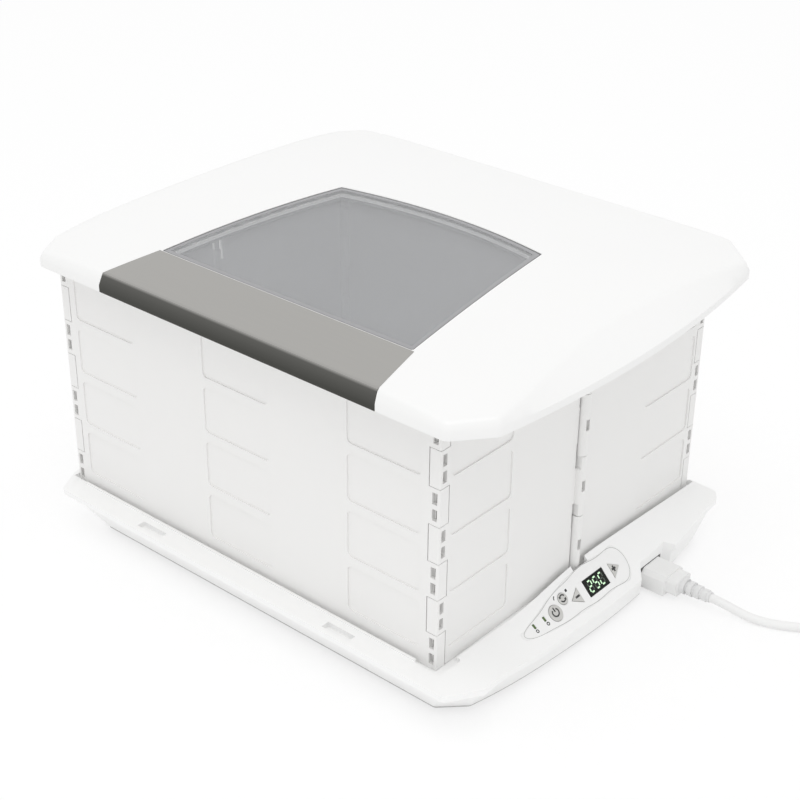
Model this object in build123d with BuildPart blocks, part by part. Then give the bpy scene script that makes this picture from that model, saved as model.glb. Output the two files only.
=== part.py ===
"""Folding dough proofer: a heated base, four hinged folding walls and a lid with a window.

The origin is on the surface that the feet stand on, below the middle of the lid. X runs along
the long walls, Y from the front to the back and Z up. All sizes are in millimetres.
"""

from build123d import *
import math
import os

os.makedirs("parts", exist_ok=True)

# ---------------------------------------------------------------- driving dimensions
# walls: the long pair faces front and back, each short side is two leaves
WALL_X, WALL_Y = 380.0, 323.0  # outer size of the closed wall frame
WALL_MID_X = -14.0  # the frame stands left of the middle, to leave room for the controls
WALL_H = 205.0
WALL_T = 4.0
POST = 9.0  # square section of the corner hinge posts
POST_ROUND = 1.0
HAIR = 0.01  # keeps a full round a little short of a closed arc
PIN_D = 3.0
PIN_PLAY = 0.07  # radial clearance of a hinge pin in its bore
HINGE_GAP = 0.8  # slit between a hinge post and the panel beside it
KNUCKLE_GAP = 0.5  # gap between knuckles, one above the other
CORNER_KNUCKLES = 7
MID_KNUCKLES = 4
MID_STAND_OUT = 0.5  # the middle hinge axis lies this far outside the outer face
CORE_W, CORE_H, CORE_END = 4.2, 9.0, 3.5  # moulding windows in the knuckles
CORE_DEPTH = 3.4
SLIT_W, SLIT_H, SLIT_OUT = 2.6, 21.0, 4.6
PAD_W, PAD_H, PAD_PITCH, PAD_DEPTH = 66.0, 38.0, 46.0, 1.0
PAD_ROUND = 4.0
PAD_BOTTOM = 13.0  # lowest pad above the foot of the wall
PAD_ROWS = 4
PAD_MARGIN, LEAF_PAD_MARGIN = 16.0, 12.0  # outer pad column from the end of its wall
SEAT_GAP = 0.3

# base
FLANGE_Z = 42.0  # top of the flange above the table
FLANGE_EDGE = 4.5
FLANGE_LIP = 0.8  # the flange stands this far out of the skirt below it
LEDGE_Z = 38.0  # ledge that the walls stand on
SKIRT_Z = 6.0  # lower edge of the top moulding
FOOT_H, FOOT_D = 3.0, 16.0
SKIN = 2.5
SEAM = 0.3
BASE_FRONT, BASE_BACK = -184.5, 165.0
BASE_LEFT = (-211.0, -223.0, -210.0)  # x at equal steps from the front corner to the back
BASE_RIGHT = (217.0, 210.5, 207.5, 208.5, 208.5, 207.5, 207.0)
BASE_CUTS = ((13.0, 24.0), (16.0, 26.0), (6.0, 8.0), (6.0, 8.0))
BASE_ROUND = 5.0
SHOE_FRONT, SHOE_BACK = -161.0, 152.0  # the same outline at the skirt's lower edge
SHOE_LEFT = (-190.0, -206.0, -190.0)
SHOE_RIGHT = (193.0, 201.6, 206.0, 208.5, 207.7, 204.5, 197.0)
SHOE_CUTS = ((16.0, 18.0), (18.0, 18.0), (6.0, 8.0), (6.0, 8.0))
SIDE_X0, SIDE_X1 = 176.0, 222.0  # the control side is a ruled surface between these places
RIM_X, RIM_Z = 207.0, 20.5  # its lowest rim
RIM_DIP = (-165.0, -45.0, 50.0, 175.0)  # the rim falls, stays low and rises between these
BUMP_RISE, BUMP_Y = 11.5, 12.0  # highest place of the control side, against the wall
BUMP_FRONT, BUMP_REAR = 105.0, 190.0
SIDE_SKIN = 3.5  # thickness of the control side, measured straight down
RECESS, RECESS_RIGHT = 3.0, 4.0  # from the outer face of the walls to the edge of their recess
CORNER_RELIEF = 9.0
RELIEF_LENGTH = 24.0
MID_RELIEF_W, MID_RELIEF_ROUND = 18.0, 1.0
BEAD_W, BEAD_H, BEAD_GAP = 2.0, 1.0, 0.4
BEAD_X0, BEAD_X1 = -190.0, 161.0
WELL_MARGIN = 10.0  # ledge inside the wall line
WELL_ROUND = 12.0
WELL_Z, PLATE_Z = 8.0, 12.0
PLATE_T, PLATE_RIM = 1.6, 9.0
POCKET_X, POCKET_Y, POCKET_W, POCKET_D = 98.5, -176.5, 26.0, 7.0
POCKET_DEPTH = 4.0
FIT = 0.3  # clearance between two parts that are put together
COVER_INSET, COVER_BEVEL, COVER_POST_D = 1.0, 1.0, 9.0
COVER_SCREWS = [(x, y) for x in (-180.0, -14.0, 157.5) for y in (-143.0, 143.0)]
SCREW_D, SCREW_BITE, SCREW_HEAD_D, SCREW_HEAD_T = 3.0, 0.3, 5.6, 1.6
HEAD_SINK, PILOT_DEPTH, COVER_SCREW = 1.8, 3.6, 7.6
VENT_X, VENT_Y, VENT_PITCH, VENT_COUNT, VENT_W, VENT_LONG = -60.0, 0.0, 10.0, 9, 3.0, 60.0
FOOT_X, FOOT_Y = (-170.0, 170.0), (-125.0, 125.0)

# heater and boards inside the base
HEATER_ROWS, HEATER_PITCH, HEATER_W, HEATER_T, HEATER_MARGIN = 8, 30.0, 8.0, 0.8, 32.0
INSULATION_Z, INSULATION_T = 6.4, 4.4
SENSOR_X, SENSOR_Y, SENSOR_D, SENSOR_H = 135.0, 0.0, 8.0, 3.0
POWER_BOARD_X, POWER_BOARD_Y, POWER_BOARD_Z = 177.8, -112.0, 12.0
POWER_BOARD_W, POWER_BOARD_L = 25.0, 56.0
POWER_BLOCKS = ((-4.0, -14.0, 16.0, 20.0, 15.0), (-4.0, 14.0, 12.0, 16.0, 10.0))
CAP_AT, CAP_D, CAP_H = (9.0, 0.0), 8.0, 12.0
BOARD_POST_Y = 24.0

# control panel and display, laid out in plan; the panel lies on the sloping side
PANEL_T, PANEL_GAP = 1.0, 0.15
PANEL_ARCS = (
    ((192.3, -81.0), (183.8, -28.0), (185.0, 30.0)),
    ((185.0, 30.0), (193.5, 45.8), (203.0, 30.0)),
    ((203.0, 30.0), (202.5, -27.0), (197.4, -83.5)),
    ((197.4, -83.5), (195.2, -86.0), (192.3, -81.0)),
)
CONTROL_TILT = 44.0  # common tilt of the buttons, the display and their board
CONTROL_X, CONTROL_Y = 194.5, -15.0
POWER_AT, POWER_D = (193.8, -45.0), 12.4
MODE_AT, MODE_D = (190.3, -32.0), 9.0
MINUS_AT, PLUS_AT = (194.8, -15.4), (194.8, 25.0)
ARROW_HALF, ARROW_LONG = 6.0, 10.0
DISPLAY_AT, DISPLAY_LONG, DISPLAY_WIDE = (194.8, 5.1), 25.0, 13.4
LIGHTS_AT = ((192.3, -69.5), (192.3, -57.2))
LIGHT_LONG, LIGHT_WIDE = 3.6, 1.8
BUTTON_PROUD, BUTTON_TRAVEL = 0.5, 0.6
BUTTON_GAP = 0.35
CUT_DEPTH = 8.0  # the control holes go this far each way from the surface
CAP_FLANGE, CAP_FLANGE_T, STEM_D = 1.2, 1.0, 3.0
BUTTON_SINK, STEM_GAP = 2 * BUTTON_TRAVEL, BUTTON_TRAVEL + FIT  # free way of a cap flange and of its stem
BOARD_DEPTH, BOARD_T, BOARD_W, BOARD_L = 11.0, 1.6, 19.0, 96.0
SWITCH_W, SWITCH_H, SWITCH_TIP, SWITCH_TIP_D = 6.0, 2.0, 1.0, 3.2
LENS_T, MODULE_IN, MODULE_T, BOARD_GAP = 2.4, 1.0, 7.0, 0.2
LIGHT_DEPTH, PANEL_FLOOR = 7.0, 0.1

# mains inlet and cord
INLET_Y, INLET_Z = 73.0, 11.8
INLET_W, INLET_H, INLET_DEPTH = 28.0, 16.4, 26.0
NOTCH_X, NOTCH_IN, NOTCH_OUT = 200.5, (57.0, 89.0), (50.0, 96.0)
NOTCH_LONG = 32.5

# lid
LID_RIM_Z = 239.5
LID_FRONT, LID_BACK = -184.5, 184.5
LID_LEFT = (-211.0, -228.5, -214.0)
LID_RIGHT = (219.0, 228.5, 213.0)
LID_CUTS = ((14.0, 24.0), (22.0, 27.0), (32.0, 30.0), (15.0, 24.0))
LID_ROUND = 8.0
LID_SKIN = 3.0
LID_EDGE = 5.5  # upright edge above the rim, below the sloping sides
LID_TOP_Z = 262.5  # the sloping sides end at this outline, which the crown cuts off
LID_TOP_FRONT, LID_TOP_BACK = -177.0, 177.0
LID_TOP_LEFT = (-206.0, -203.5, -202.5, -202.5, -202.5, -203.0, -207.0)
LID_TOP_RIGHT = (214.0, 206.0, 202.5, 202.5, 202.5, 203.0, 208.0)
LID_TOP_SKIN = 5.0
CROWN_Z = 265.5  # highest point of the lid
CROWN_R = 1410.0  # bend of the crown from front to back
CROWN_FLAT = 140.0  # half length of its straight middle part along X
CROWN_SIDE_R = 566.0  # fall of the crown beyond it
CROWN_TURN, CROWN_FALL = 9.0, 12.0  # reach of both bends, in degrees
SHOULDER = 5.0
WINDOW_X = 6.0
WINDOW_ROUND = 1.5
WINDOW_FRONT, WINDOW_BACK, WINDOW_BOW = -133.0, 38.0, 12.0
WINDOW_FRONT_HALF, WINDOW_BACK_HALF, WINDOW_SIDE_BOW = 121.0, 99.0, 1.0
PANE_T, PANE_SINK, PANE_GAP, PANE_LEDGE = 3.0, 0.5, 0.25, 4.5
FRAME_W, FRAME_T = 8.0, 6.0  # thicker stretch of the lid round the window
SPACER_T, SPACER_IN = 2.0, 1.5
STRIP_T, STRIP_GAP, STRIP_EDGE = 1.0, 0.8, 0.15
STRIP_BACK_HALF, STRIP_FRONT_HALF = 123.0, 134.0
LINER_T, LINER_IN, LINER_OPEN = 3.0, 6.0, 22.0
LIP_GAP, LIP_T, LIP_LONG, LIP_SHORT = 1.0, 2.0, 120.0, 90.0
LIP_SIDE_Y = 85.0  # middle of a side lip, clear of the middle hinge
LID_SCREWS = [(x, y) for x in (-180.0, 192.0) for y in (-150.0, 0.0, 150.0)]
LID_SCREW, LID_BOSS_D = 8.0, 8.0

# things that stand in the well
TRAY_L, TRAY_W, TRAY_H, TRAY_WALL, TRAY_TAPER, TRAY_ROUND = 150.0, 95.0, 16.0, 1.5, 5.0, 14.0
RACK_L, RACK_W, RACK_Z, RACK_WIRE, RACK_BAR = 300.0, 236.0, 35.6, 3.4, 2.6
RACK_BARS, RACK_PITCH, RACK_ROUND, RACK_LEG_IN, RACK_LEG_D = 11, 25.0, 14.0, 20.0, 3.2

# cord set
PLUG_BODY_L, PLUG_BODY_W, PLUG_BODY_H = 21.0, 27.0, 16.0
NOSE_L, NOSE_W, NOSE_H = 14.0, 22.0, 12.4
COLLAR_L, COLLAR_W, COLLAR_H = 9.0, 21.0, 14.0
RELIEF_L, RELIEF_D0, RELIEF_D1, RELIEF_RIBS = 25.0, 13.0, 10.0, 4
RELIEF_CORE, RIB_SHARE = 0.8, 0.62
PLUG_CUT = 3.5
PIN_SPREAD, PIN_DROP, CONTACT_T, CONTACT_W, CONTACT_L = 7.0, 2.0, 2.0, 4.0, 9.0
CORD_D = 7.0
CORD_Z = CORD_D / 2
BEND_SHARE = 0.45  # share of the shorter run that a bend may take up
RELIEF_BORE = 8.0  # how deep the cord sits in its strain relief
COIL_AT, COIL_D, COIL_COLUMNS, COIL_LAYERS = (404.0, 79.0), 78.0, 3, 2
TIE_ANGLE, TIE_W, TIE_T = -60.0, 9.0, 1.0
PLUG_AWAY = 27.0  # from the middle of the coil to the tip of the plug's relief, along Y
PLUG_TIP_D = 8.8
PLUG_L, PLUG_W, PLUG_H, PLUG_NECK, PLUG_ROUND = 34.0, 26.0, 20.4, 12.0, 5.0
BLADES_AT, BLADE_W, BLADE_T, BLADE_L = ((-4.0, -6.35), (-4.0, 6.35)), 6.3, 1.5, 16.0
EARTH_AT, EARTH_D, EARTH_L, BLADE_ROOT = (7.9, 0.0), 4.8, 18.5, 5.0

# ---------------------------------------------------------------- worked-out places
HALF_X, HALF_Y = WALL_X / 2, WALL_Y / 2
PIN_IN = POST / 2  # a corner pin axis lies this far inside both outer faces
WALL_Z0 = LEDGE_Z + SEAT_GAP
WALL_Z1 = WALL_Z0 + WALL_H
WALL_LEFT, WALL_RIGHT = WALL_MID_X - HALF_X, WALL_MID_X + HALF_X
BORE_R = PIN_D / 2 + PIN_PLAY
LINER_Z = WALL_Z1 + SEAT_GAP


def save(part, name):
    """Label a finished piece and write its STEP file."""
    part.label = name
    export_step(part, "parts/" + name + ".step")


def bowed_plan(front, back, left, right, cuts, corner_round):
    """Closed plan outline: straight front and back, bowed sides, cut and rounded corners.

    left and right each give x at equal steps from the front corner to the back corner. cuts
    gives the reach of each corner cut along X and Y, from front left round to back left.
    """
    (flx, fly), (frx, fry), (brx, bry), (blx, bly) = cuts

    def side(values, y0, y1):
        points = [(x, y0 + (y1 - y0) * i / (len(values) - 1)) for i, x in enumerate(values)]
        return ThreePointArc(*points) if len(points) == 3 else Spline(*points)

    with BuildSketch() as plan:
        with BuildLine():
            Line((left[0] + flx, front), (right[0] - frx, front))
            Line((right[0] - frx, front), (right[0], front + fry))
            side(right, front + fry, back - bry)
            Line((right[-1], back - bry), (right[-1] - brx, back))
            Line((right[-1] - brx, back), (left[-1] + blx, back))
            Line((left[-1] + blx, back), (left[-1], back - bly))
            side(left[::-1], back - bly, front + fly)
            Line((left[0], front + fly), (left[0] + flx, front))
        make_face()
        fillet(plan.vertices(), corner_round)
    return plan.sketch


def moved(side, amount):
    """The x values of a bowed side, all moved by the same amount."""
    return tuple(x + amount for x in side)


# ---------------------------------------------------------------- walls
def wall_plan(middle, along):
    """Plan plane of a wall: x along it, y from its outer face inwards, z up from its foot."""
    return Plane(origin=(middle[0], middle[1], WALL_Z0), x_dir=along, z_dir=(0, 0, 1))


FRONT_PLAN = wall_plan((WALL_MID_X, -HALF_Y), (1, 0, 0))
BACK_PLAN = wall_plan((WALL_MID_X, HALF_Y), (-1, 0, 0))
RIGHT_PLAN = wall_plan((WALL_RIGHT, 0), (0, 1, 0))
LEFT_PLAN = wall_plan((WALL_LEFT, 0), (0, -1, 0))


def outer_face(plan):
    """The outer face of a wall as a drawing plane: x along the wall, y up."""
    return Plane(origin=plan.origin, x_dir=plan.x_dir, z_dir=-plan.y_dir)


def knuckle_spans(count, first):
    """Foot and head of every second knuckle of a hinge, counted from the top."""
    pitch = WALL_H / count
    spans = []
    for index in range(first, count, 2):
        head = WALL_H - index * pitch - (KNUCKLE_GAP / 2 if index else 0)
        foot = WALL_H - (index + 1) * pitch + (KNUCKLE_GAP / 2 if index < count - 1 else 0)
        spans.append((foot, head))
    return spans


def panel_plate(plan, start, end):
    """The flat plate of a panel, between two places along the wall."""
    with BuildSketch(plan) as plate:
        with Locations(((start + end) / 2, WALL_T / 2)):
            Rectangle(end - start, WALL_T)
    extrude(plate.sketch, amount=WALL_H)


def corner_knuckles(plan, half, side, first):
    """Corner hinge knuckles at one end of a panel: square outside, round about the pin inside.

    side is +1 or -1 for the end along the plan's x. The other panel swings past the round side.
    """
    pin_x = side * (half - PIN_IN)
    root = PIN_IN + HINGE_GAP
    for foot, head in knuckle_spans(CORNER_KNUCKLES, first):
        with BuildSketch(plan.offset(foot)) as post:
            with Locations((pin_x, PIN_IN)):
                Rectangle(POST, POST)
            corners = post.vertices()
            fillet(corners.sort_by_distance((pin_x - side * POST, POST * 1.5, 0))[0], PIN_IN - HAIR)
            fillet(post.vertices().sort_by_distance((pin_x + side * POST, -POST, 0))[0], POST_ROUND)
            with Locations((pin_x - side * root / 2, WALL_T / 2)):
                Rectangle(root, WALL_T)
            with Locations((pin_x, PIN_IN)):
                Circle(BORE_R, mode=Mode.SUBTRACT)
        extrude(post.sketch, amount=head - foot)
        ends = [foot + CORE_END + CORE_H / 2, head - CORE_END - CORE_H / 2]
        with BuildSketch(outer_face(plan)) as cores:
            with Locations(*[(pin_x, height) for height in ends]):
                Rectangle(CORE_W, CORE_H)
        extrude(cores.sketch, amount=-CORE_DEPTH, mode=Mode.SUBTRACT)


def mid_knuckles(plan, side, first):
    """Middle hinge knuckles of one leaf: round barrels that stand out of the wall."""
    root = PIN_IN + HINGE_GAP
    for foot, head in knuckle_spans(MID_KNUCKLES, first):
        with BuildSketch(plan.offset(foot)) as barrel:
            with Locations((0, -MID_STAND_OUT)):
                Circle(PIN_IN)
            with Locations((side * root / 2, WALL_T / 2)):
                Rectangle(root, WALL_T)
            with Locations((0, -MID_STAND_OUT)):
                Circle(BORE_R, mode=Mode.SUBTRACT)
        extrude(barrel.sketch, amount=head - foot)


def mid_windows(plan, first_side):
    """Cores of the middle hinge: a window in each knuckle and a long slit over each joint."""
    pitch = WALL_H / MID_KNUCKLES
    centres = [(0, (index + 0.5) * pitch) for index in range(MID_KNUCKLES)]
    joints = [(first_side * SLIT_OUT, index * pitch) for index in range(1, MID_KNUCKLES)]
    face = outer_face(plan).offset(PIN_IN + MID_STAND_OUT)
    with BuildSketch(face) as cores:
        with Locations(*centres):
            Rectangle(CORE_W, CORE_H)
    extrude(cores.sketch, amount=-CORE_DEPTH, mode=Mode.SUBTRACT)
    with BuildSketch(face) as slits:
        with Locations(*joints):
            Rectangle(SLIT_W, SLIT_H)
    extrude(slits.sketch, amount=-2 * POST, mode=Mode.SUBTRACT)


def pads(plan, columns):
    """Sunk pads on the outer face, in columns centred at the given places along the wall."""
    rows = [PAD_BOTTOM + PAD_H / 2 + row * PAD_PITCH for row in range(PAD_ROWS)]
    with BuildSketch(outer_face(plan)) as sunk:
        with Locations(*[(x, z) for x in columns for z in rows]):
            RectangleRounded(PAD_W, PAD_H, PAD_ROUND)
    extrude(sunk.sketch, amount=-PAD_DEPTH, mode=Mode.SUBTRACT)


def long_wall(plan):
    """A front or back wall with hinge knuckles at both ends, first, third, fifth and seventh."""
    end = HALF_X - POST - HINGE_GAP
    column = HALF_X - PAD_MARGIN - PAD_W / 2
    with BuildPart() as wall:
        panel_plate(plan, -end, end)
        pads(plan, [-column, 0, column])
        corner_knuckles(plan, HALF_X, 1, 0)
        corner_knuckles(plan, HALF_X, -1, 0)
    return wall.part


def leaf(plan, side, first):
    """One of the two leaves of a short side: corner knuckles at one end, a barrel at the other."""
    end = HALF_Y - POST - HINGE_GAP
    start = PIN_IN + HINGE_GAP
    column = HALF_Y - LEAF_PAD_MARGIN - PAD_W / 2
    with BuildPart() as wall:
        panel_plate(plan, *sorted((side * start, side * end)))
        pads(plan, [side * column])
        corner_knuckles(plan, HALF_Y, side, 1)
        mid_knuckles(plan, side, first)
        mid_windows(plan, side)
    return wall.part


def hinge_pin(plan, x, y):
    """A steel rod through all the knuckles of one hinge, a little short of both ends."""
    with BuildPart() as pin:
        with BuildSketch(plan.offset(SEAT_GAP)):
            with Locations((x, y)):
                Circle(PIN_D / 2)
        extrude(amount=WALL_H - 2 * SEAT_GAP)
        chamfer(pin.edges().filter_by(GeomType.CIRCLE), PIN_D / 8)
    return pin.part


save(long_wall(FRONT_PLAN), "front_wall")
save(long_wall(BACK_PLAN), "back_wall")
save(leaf(RIGHT_PLAN, -1, 0), "right_front_leaf")
save(leaf(RIGHT_PLAN, 1, 1), "right_back_leaf")
save(leaf(LEFT_PLAN, 1, 0), "left_front_leaf")
save(leaf(LEFT_PLAN, -1, 1), "left_back_leaf")
save(hinge_pin(FRONT_PLAN, HALF_X - PIN_IN, PIN_IN), "right_front_hinge_pin")
save(hinge_pin(FRONT_PLAN, PIN_IN - HALF_X, PIN_IN), "left_front_hinge_pin")
save(hinge_pin(BACK_PLAN, PIN_IN - HALF_X, PIN_IN), "right_back_hinge_pin")
save(hinge_pin(BACK_PLAN, HALF_X - PIN_IN, PIN_IN), "left_back_hinge_pin")
save(hinge_pin(RIGHT_PLAN, 0, -MID_STAND_OUT), "right_middle_hinge_pin")
save(hinge_pin(LEFT_PLAN, 0, -MID_STAND_OUT), "left_middle_hinge_pin")


# ---------------------------------------------------------------- control side of the base
def wave(share):
    """Smooth step from 0 to 1."""
    return (1 - math.cos(math.pi * min(1.0, max(0.0, share)))) / 2


def wall_line(y):
    """Height of the control side against the wall: it rises in a bump towards the middle."""
    reach = BUMP_FRONT if y < BUMP_Y else BUMP_REAR
    return FLANGE_Z + BUMP_RISE * (1 - wave(abs(y - BUMP_Y) / reach))


def rim_line(y):
    """Height of the outer rim of the control side: it dips towards the middle."""
    start, low, high, end = RIM_DIP
    share = wave((low - y) / (low - start)) if y < low else wave((y - high) / (end - high))
    return RIM_Z + (FLANGE_Z - RIM_Z) * share


def side_z(x, y):
    """Height of the control side at a place; along X it is straight."""
    inner = wall_line(y)
    return inner + (x - SIDE_X0) / (RIM_X - SIDE_X0) * (rim_line(y) - inner)


SIDE_STEPS = 24
UNDER_Z = -30.0  # foot of the helper solids, well below the base
REACH = 450.0
TALL = 70.0


def side_form(lift):
    """Helper solid under the control side, its top lifted or sunk."""
    first, last = RIM_DIP[0], BASE_BACK + 2 * SKIN
    places = [first + (last - first) * i / SIDE_STEPS for i in range(SIDE_STEPS + 1)]
    with BuildPart() as form:
        for x in (SIDE_X0, SIDE_X1):
            with BuildSketch(Plane(origin=(x, 0, 0), x_dir=(0, 1, 0), z_dir=(1, 0, 0))):
                with BuildLine():
                    Line((2 * BASE_FRONT, UNDER_Z), (2 * BASE_FRONT, FLANGE_Z + lift))
                    Line((2 * BASE_FRONT, FLANGE_Z + lift), (first, FLANGE_Z + lift))
                    Spline(*[(y, side_z(x, y) + lift) for y in places])
                    Line((last, side_z(x, last) + lift), (last, UNDER_Z))
                    Line((last, UNDER_Z), (2 * BASE_FRONT, UNDER_Z))
                make_face()
        loft(ruled=True)
    return form.part


def top_form(lift, side_lift):
    """Helper solid under the whole top of the base: the flat flange and the control side."""
    with BuildPart() as form:
        with Locations((SIDE_X0 - REACH / 2, 0, (UNDER_Z + FLANGE_Z + lift) / 2)):
            Box(REACH, 2 * REACH, FLANGE_Z + lift - UNDER_Z)
        add(side_form(side_lift))
    return form.part


def prism(plan, z0, z1):
    """Upright prism on a plan."""
    with BuildPart() as body:
        with BuildSketch(Plane.XY.offset(z0)):
            add(plan)
        extrude(amount=z1 - z0)
    return body.part


def base_plan(inset=0.0):
    """Outline of the base at its flange."""
    left, right = moved(BASE_LEFT, inset), moved(BASE_RIGHT, -inset)
    return bowed_plan(BASE_FRONT + inset, BASE_BACK - inset, left, right, BASE_CUTS, BASE_ROUND)


def shoe_plan(inset=0.0):
    """Outline of the base at the lower edge of its skirt."""
    left, right = moved(SHOE_LEFT, inset), moved(SHOE_RIGHT, -inset)
    return bowed_plan(SHOE_FRONT + inset, SHOE_BACK - inset, left, right, SHOE_CUTS, BASE_ROUND)


def skirt_block(inset):
    """Solid between the two outlines, carried straight up past the flange."""
    with BuildPart() as block:
        with BuildSketch(Plane.XY.offset(SKIRT_Z)):
            add(shoe_plan(inset))
        with BuildSketch(Plane.XY.offset(FLANGE_Z)):
            add(base_plan(FLANGE_LIP + inset))
        loft(ruled=True)
        with BuildSketch(Plane.XY.offset(FLANGE_Z)):
            add(base_plan(FLANGE_LIP + inset))
        extrude(amount=TALL - FLANGE_Z)
    return block.part


WELL_X0, WELL_X1 = WALL_LEFT + WALL_T + WELL_MARGIN, WALL_RIGHT - WALL_T - WELL_MARGIN
WELL_HALF_Y = HALF_Y - WALL_T - WELL_MARGIN
WELL_MID_X = (WELL_X0 + WELL_X1) / 2
WELL_W, WELL_D = WELL_X1 - WELL_X0, 2 * WELL_HALF_Y
RECESS_BACK = BASE_BACK - HALF_Y - 4 * SEAT_GAP


def well_plan(grow):
    """Rounded plan of the well in the base, grown or shrunk."""
    with BuildSketch() as plan:
        with Locations((WELL_MID_X, 0)):
            RectangleRounded(WELL_W + 2 * grow, WELL_D + 2 * grow, WELL_ROUND + grow)
    return plan.sketch


def recess_plan(grow):
    """Plan of the recess round the walls, with corner reliefs and room for the middle hinges."""
    front, back = -HALF_Y - RECESS - grow, HALF_Y + RECESS_BACK + grow
    left, right = WALL_LEFT - RECESS - grow, WALL_RIGHT + RECESS_RIGHT + grow
    relief = RELIEF_LENGTH + 2 * grow
    with BuildSketch() as plan:
        with Locations(((left + right) / 2, (front + back) / 2)):
            Rectangle(right - left, back - front)
        with Locations((right - relief / 2 + CORNER_RELIEF / 2, front + relief / 2 - RECESS)):
            RectangleRounded(relief, relief, RECESS + grow)
        with Locations((left, 0), (right, 0)):
            RectangleRounded(MID_RELIEF_W / 2 + 2 * grow, MID_RELIEF_W + 2 * grow, MID_RELIEF_ROUND)
    return plan.sketch


def notch_plan(grow):
    """Plan of the notch for the mains connector: it opens outwards."""
    inner, outer = NOTCH_IN, NOTCH_OUT
    spread = (outer[1] - inner[1]) / (RIM_X - NOTCH_X)
    far = NOTCH_X + NOTCH_LONG
    with BuildSketch() as plan:
        with BuildLine():
            Polyline(
                (NOTCH_X - grow, inner[0] - grow),
                (far, inner[0] - grow - spread * (far - NOTCH_X)),
                (far, inner[1] + grow + spread * (far - NOTCH_X)),
                (NOTCH_X - grow, inner[1] + grow),
                close=True,
            )
        make_face()
    return plan.sketch


def panel_plan(grow):
    """Leaf outline of the control panel in plan."""
    with BuildSketch() as plan:
        with BuildLine():
            for start, middle, end in PANEL_ARCS:
                ThreePointArc(start, middle, end)
        make_face()
        if grow:
            offset(amount=grow)
    return plan.sketch


TILT = math.radians(CONTROL_TILT)
CONTROL = Plane(
    origin=(CONTROL_X, CONTROL_Y, side_z(CONTROL_X, CONTROL_Y)),
    x_dir=(math.cos(TILT), 0, -math.sin(TILT)),
    z_dir=(math.sin(TILT), 0, math.cos(TILT)),
)


def on_control(place):
    """A place of the sloping side, given in plan, in the tilted frame of the controls."""
    x, y = place
    return CONTROL.to_local_coords(Vector(x, y, side_z(x, y)))


def control_sketch(kind, place, grow, depth):
    """Outline of one control on a plane of the tilted frame, at a depth under the surface."""
    at = on_control(place)
    with BuildSketch(CONTROL.offset(at.Z - depth)) as outline:
        with Locations((at.X, at.Y)):
            if kind in ("power", "mode"):
                Circle((POWER_D if kind == "power" else MODE_D) / 2 + grow)
            elif kind == "display":
                Rectangle(DISPLAY_WIDE + 2 * grow, DISPLAY_LONG + 2 * grow)
            elif kind == "light":
                RectangleRounded(LIGHT_LONG + 2 * grow, LIGHT_WIDE + 2 * grow, LIGHT_WIDE / 3)
            elif kind == "stem":
                Circle(STEM_D / 2)
            else:
                tip = ARROW_LONG if kind == "plus" else -ARROW_LONG
                Polygon((-ARROW_HALF, 0), (ARROW_HALF, 0), (0, tip), align=None)
                if grow:
                    offset(amount=grow)
    return outline.sketch


def arrow_middle(kind, place):
    """The middle of an arrow button in plan: a third of the way from its base to its tip."""
    return (place[0], place[1] + (1 if kind == "plus" else -1) * ARROW_LONG / 3)


BUTTONS = (("power", POWER_AT), ("mode", MODE_AT), ("minus", MINUS_AT), ("plus", PLUS_AT))
CONTROLS = BUTTONS + (("display", DISPLAY_AT),) + tuple(("light", at) for at in LIGHTS_AT)


def control_cuts(gap, depth):
    """Through holes for all the controls."""
    with BuildPart() as cuts:
        for kind, place in CONTROLS:
            wide = FIT if kind in ("display", "light") else gap
            extrude(control_sketch(kind, place, wide, depth), amount=2 * depth)
    return cuts.part


def pocket_blocks(grow):
    """The two pockets in the front of the flange, grown sideways and down."""
    with BuildPart() as blocks:
        with Locations(*[(side * POCKET_X, POCKET_Y, FLANGE_Z) for side in (-1, 1)]):
            Box(POCKET_W + 2 * grow, POCKET_D + 2 * grow, 2 * (POCKET_DEPTH + grow))
    return blocks.part


CUTS = control_cuts(BUTTON_GAP, CUT_DEPTH)

with BuildPart() as base_shell:
    add(skirt_block(0))
    add(top_form(0, 0), mode=Mode.INTERSECT)
    add(prism(base_plan(), UNDER_Z, TALL) & (top_form(0, 0) - top_form(-FLANGE_EDGE, -FLANGE_EDGE)))
    keep = prism(recess_plan(SKIN), LEDGE_Z - SKIN, TALL)
    keep += prism(well_plan(SKIN), WELL_Z, TALL)
    keep += prism(notch_plan(SKIN), UNDER_Z, TALL)
    keep += pocket_blocks(SKIN)
    add((skirt_block(SKIN) & top_form(-SKIN, -SIDE_SKIN)) - keep, mode=Mode.SUBTRACT)
    add(prism(recess_plan(0), LEDGE_Z, TALL), mode=Mode.SUBTRACT)
    add(prism(well_plan(0), PLATE_Z, TALL), mode=Mode.SUBTRACT)
    add(prism(well_plan(-PLATE_RIM), UNDER_Z, TALL), mode=Mode.SUBTRACT)
    add(prism(notch_plan(0), UNDER_Z, TALL), mode=Mode.SUBTRACT)
    over = side_form(SIDE_SKIN) - side_form(-PANEL_T)
    add(prism(panel_plan(PANEL_GAP), UNDER_Z, TALL) & over, mode=Mode.SUBTRACT)
    add(CUTS, mode=Mode.SUBTRACT)
    add(pocket_blocks(0), mode=Mode.SUBTRACT)
    bead_y = -HALF_Y - RECESS - BEAD_GAP - BEAD_W / 2
    with Locations(((BEAD_X0 + BEAD_X1) / 2, bead_y, FLANGE_Z)):
        Box(BEAD_X1 - BEAD_X0, BEAD_W, 2 * BEAD_H)
    with Locations((NOTCH_X, INLET_Y, INLET_Z)):
        Box(INLET_DEPTH, INLET_W + 2 * FIT, INLET_H + 2 * FIT, mode=Mode.SUBTRACT)
    with Locations(*[(x, y, WELL_Z) for x, y in COVER_SCREWS]):
        Cylinder(SCREW_D / 2 - SCREW_BITE, 2 * PILOT_DEPTH, mode=Mode.SUBTRACT)
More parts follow.
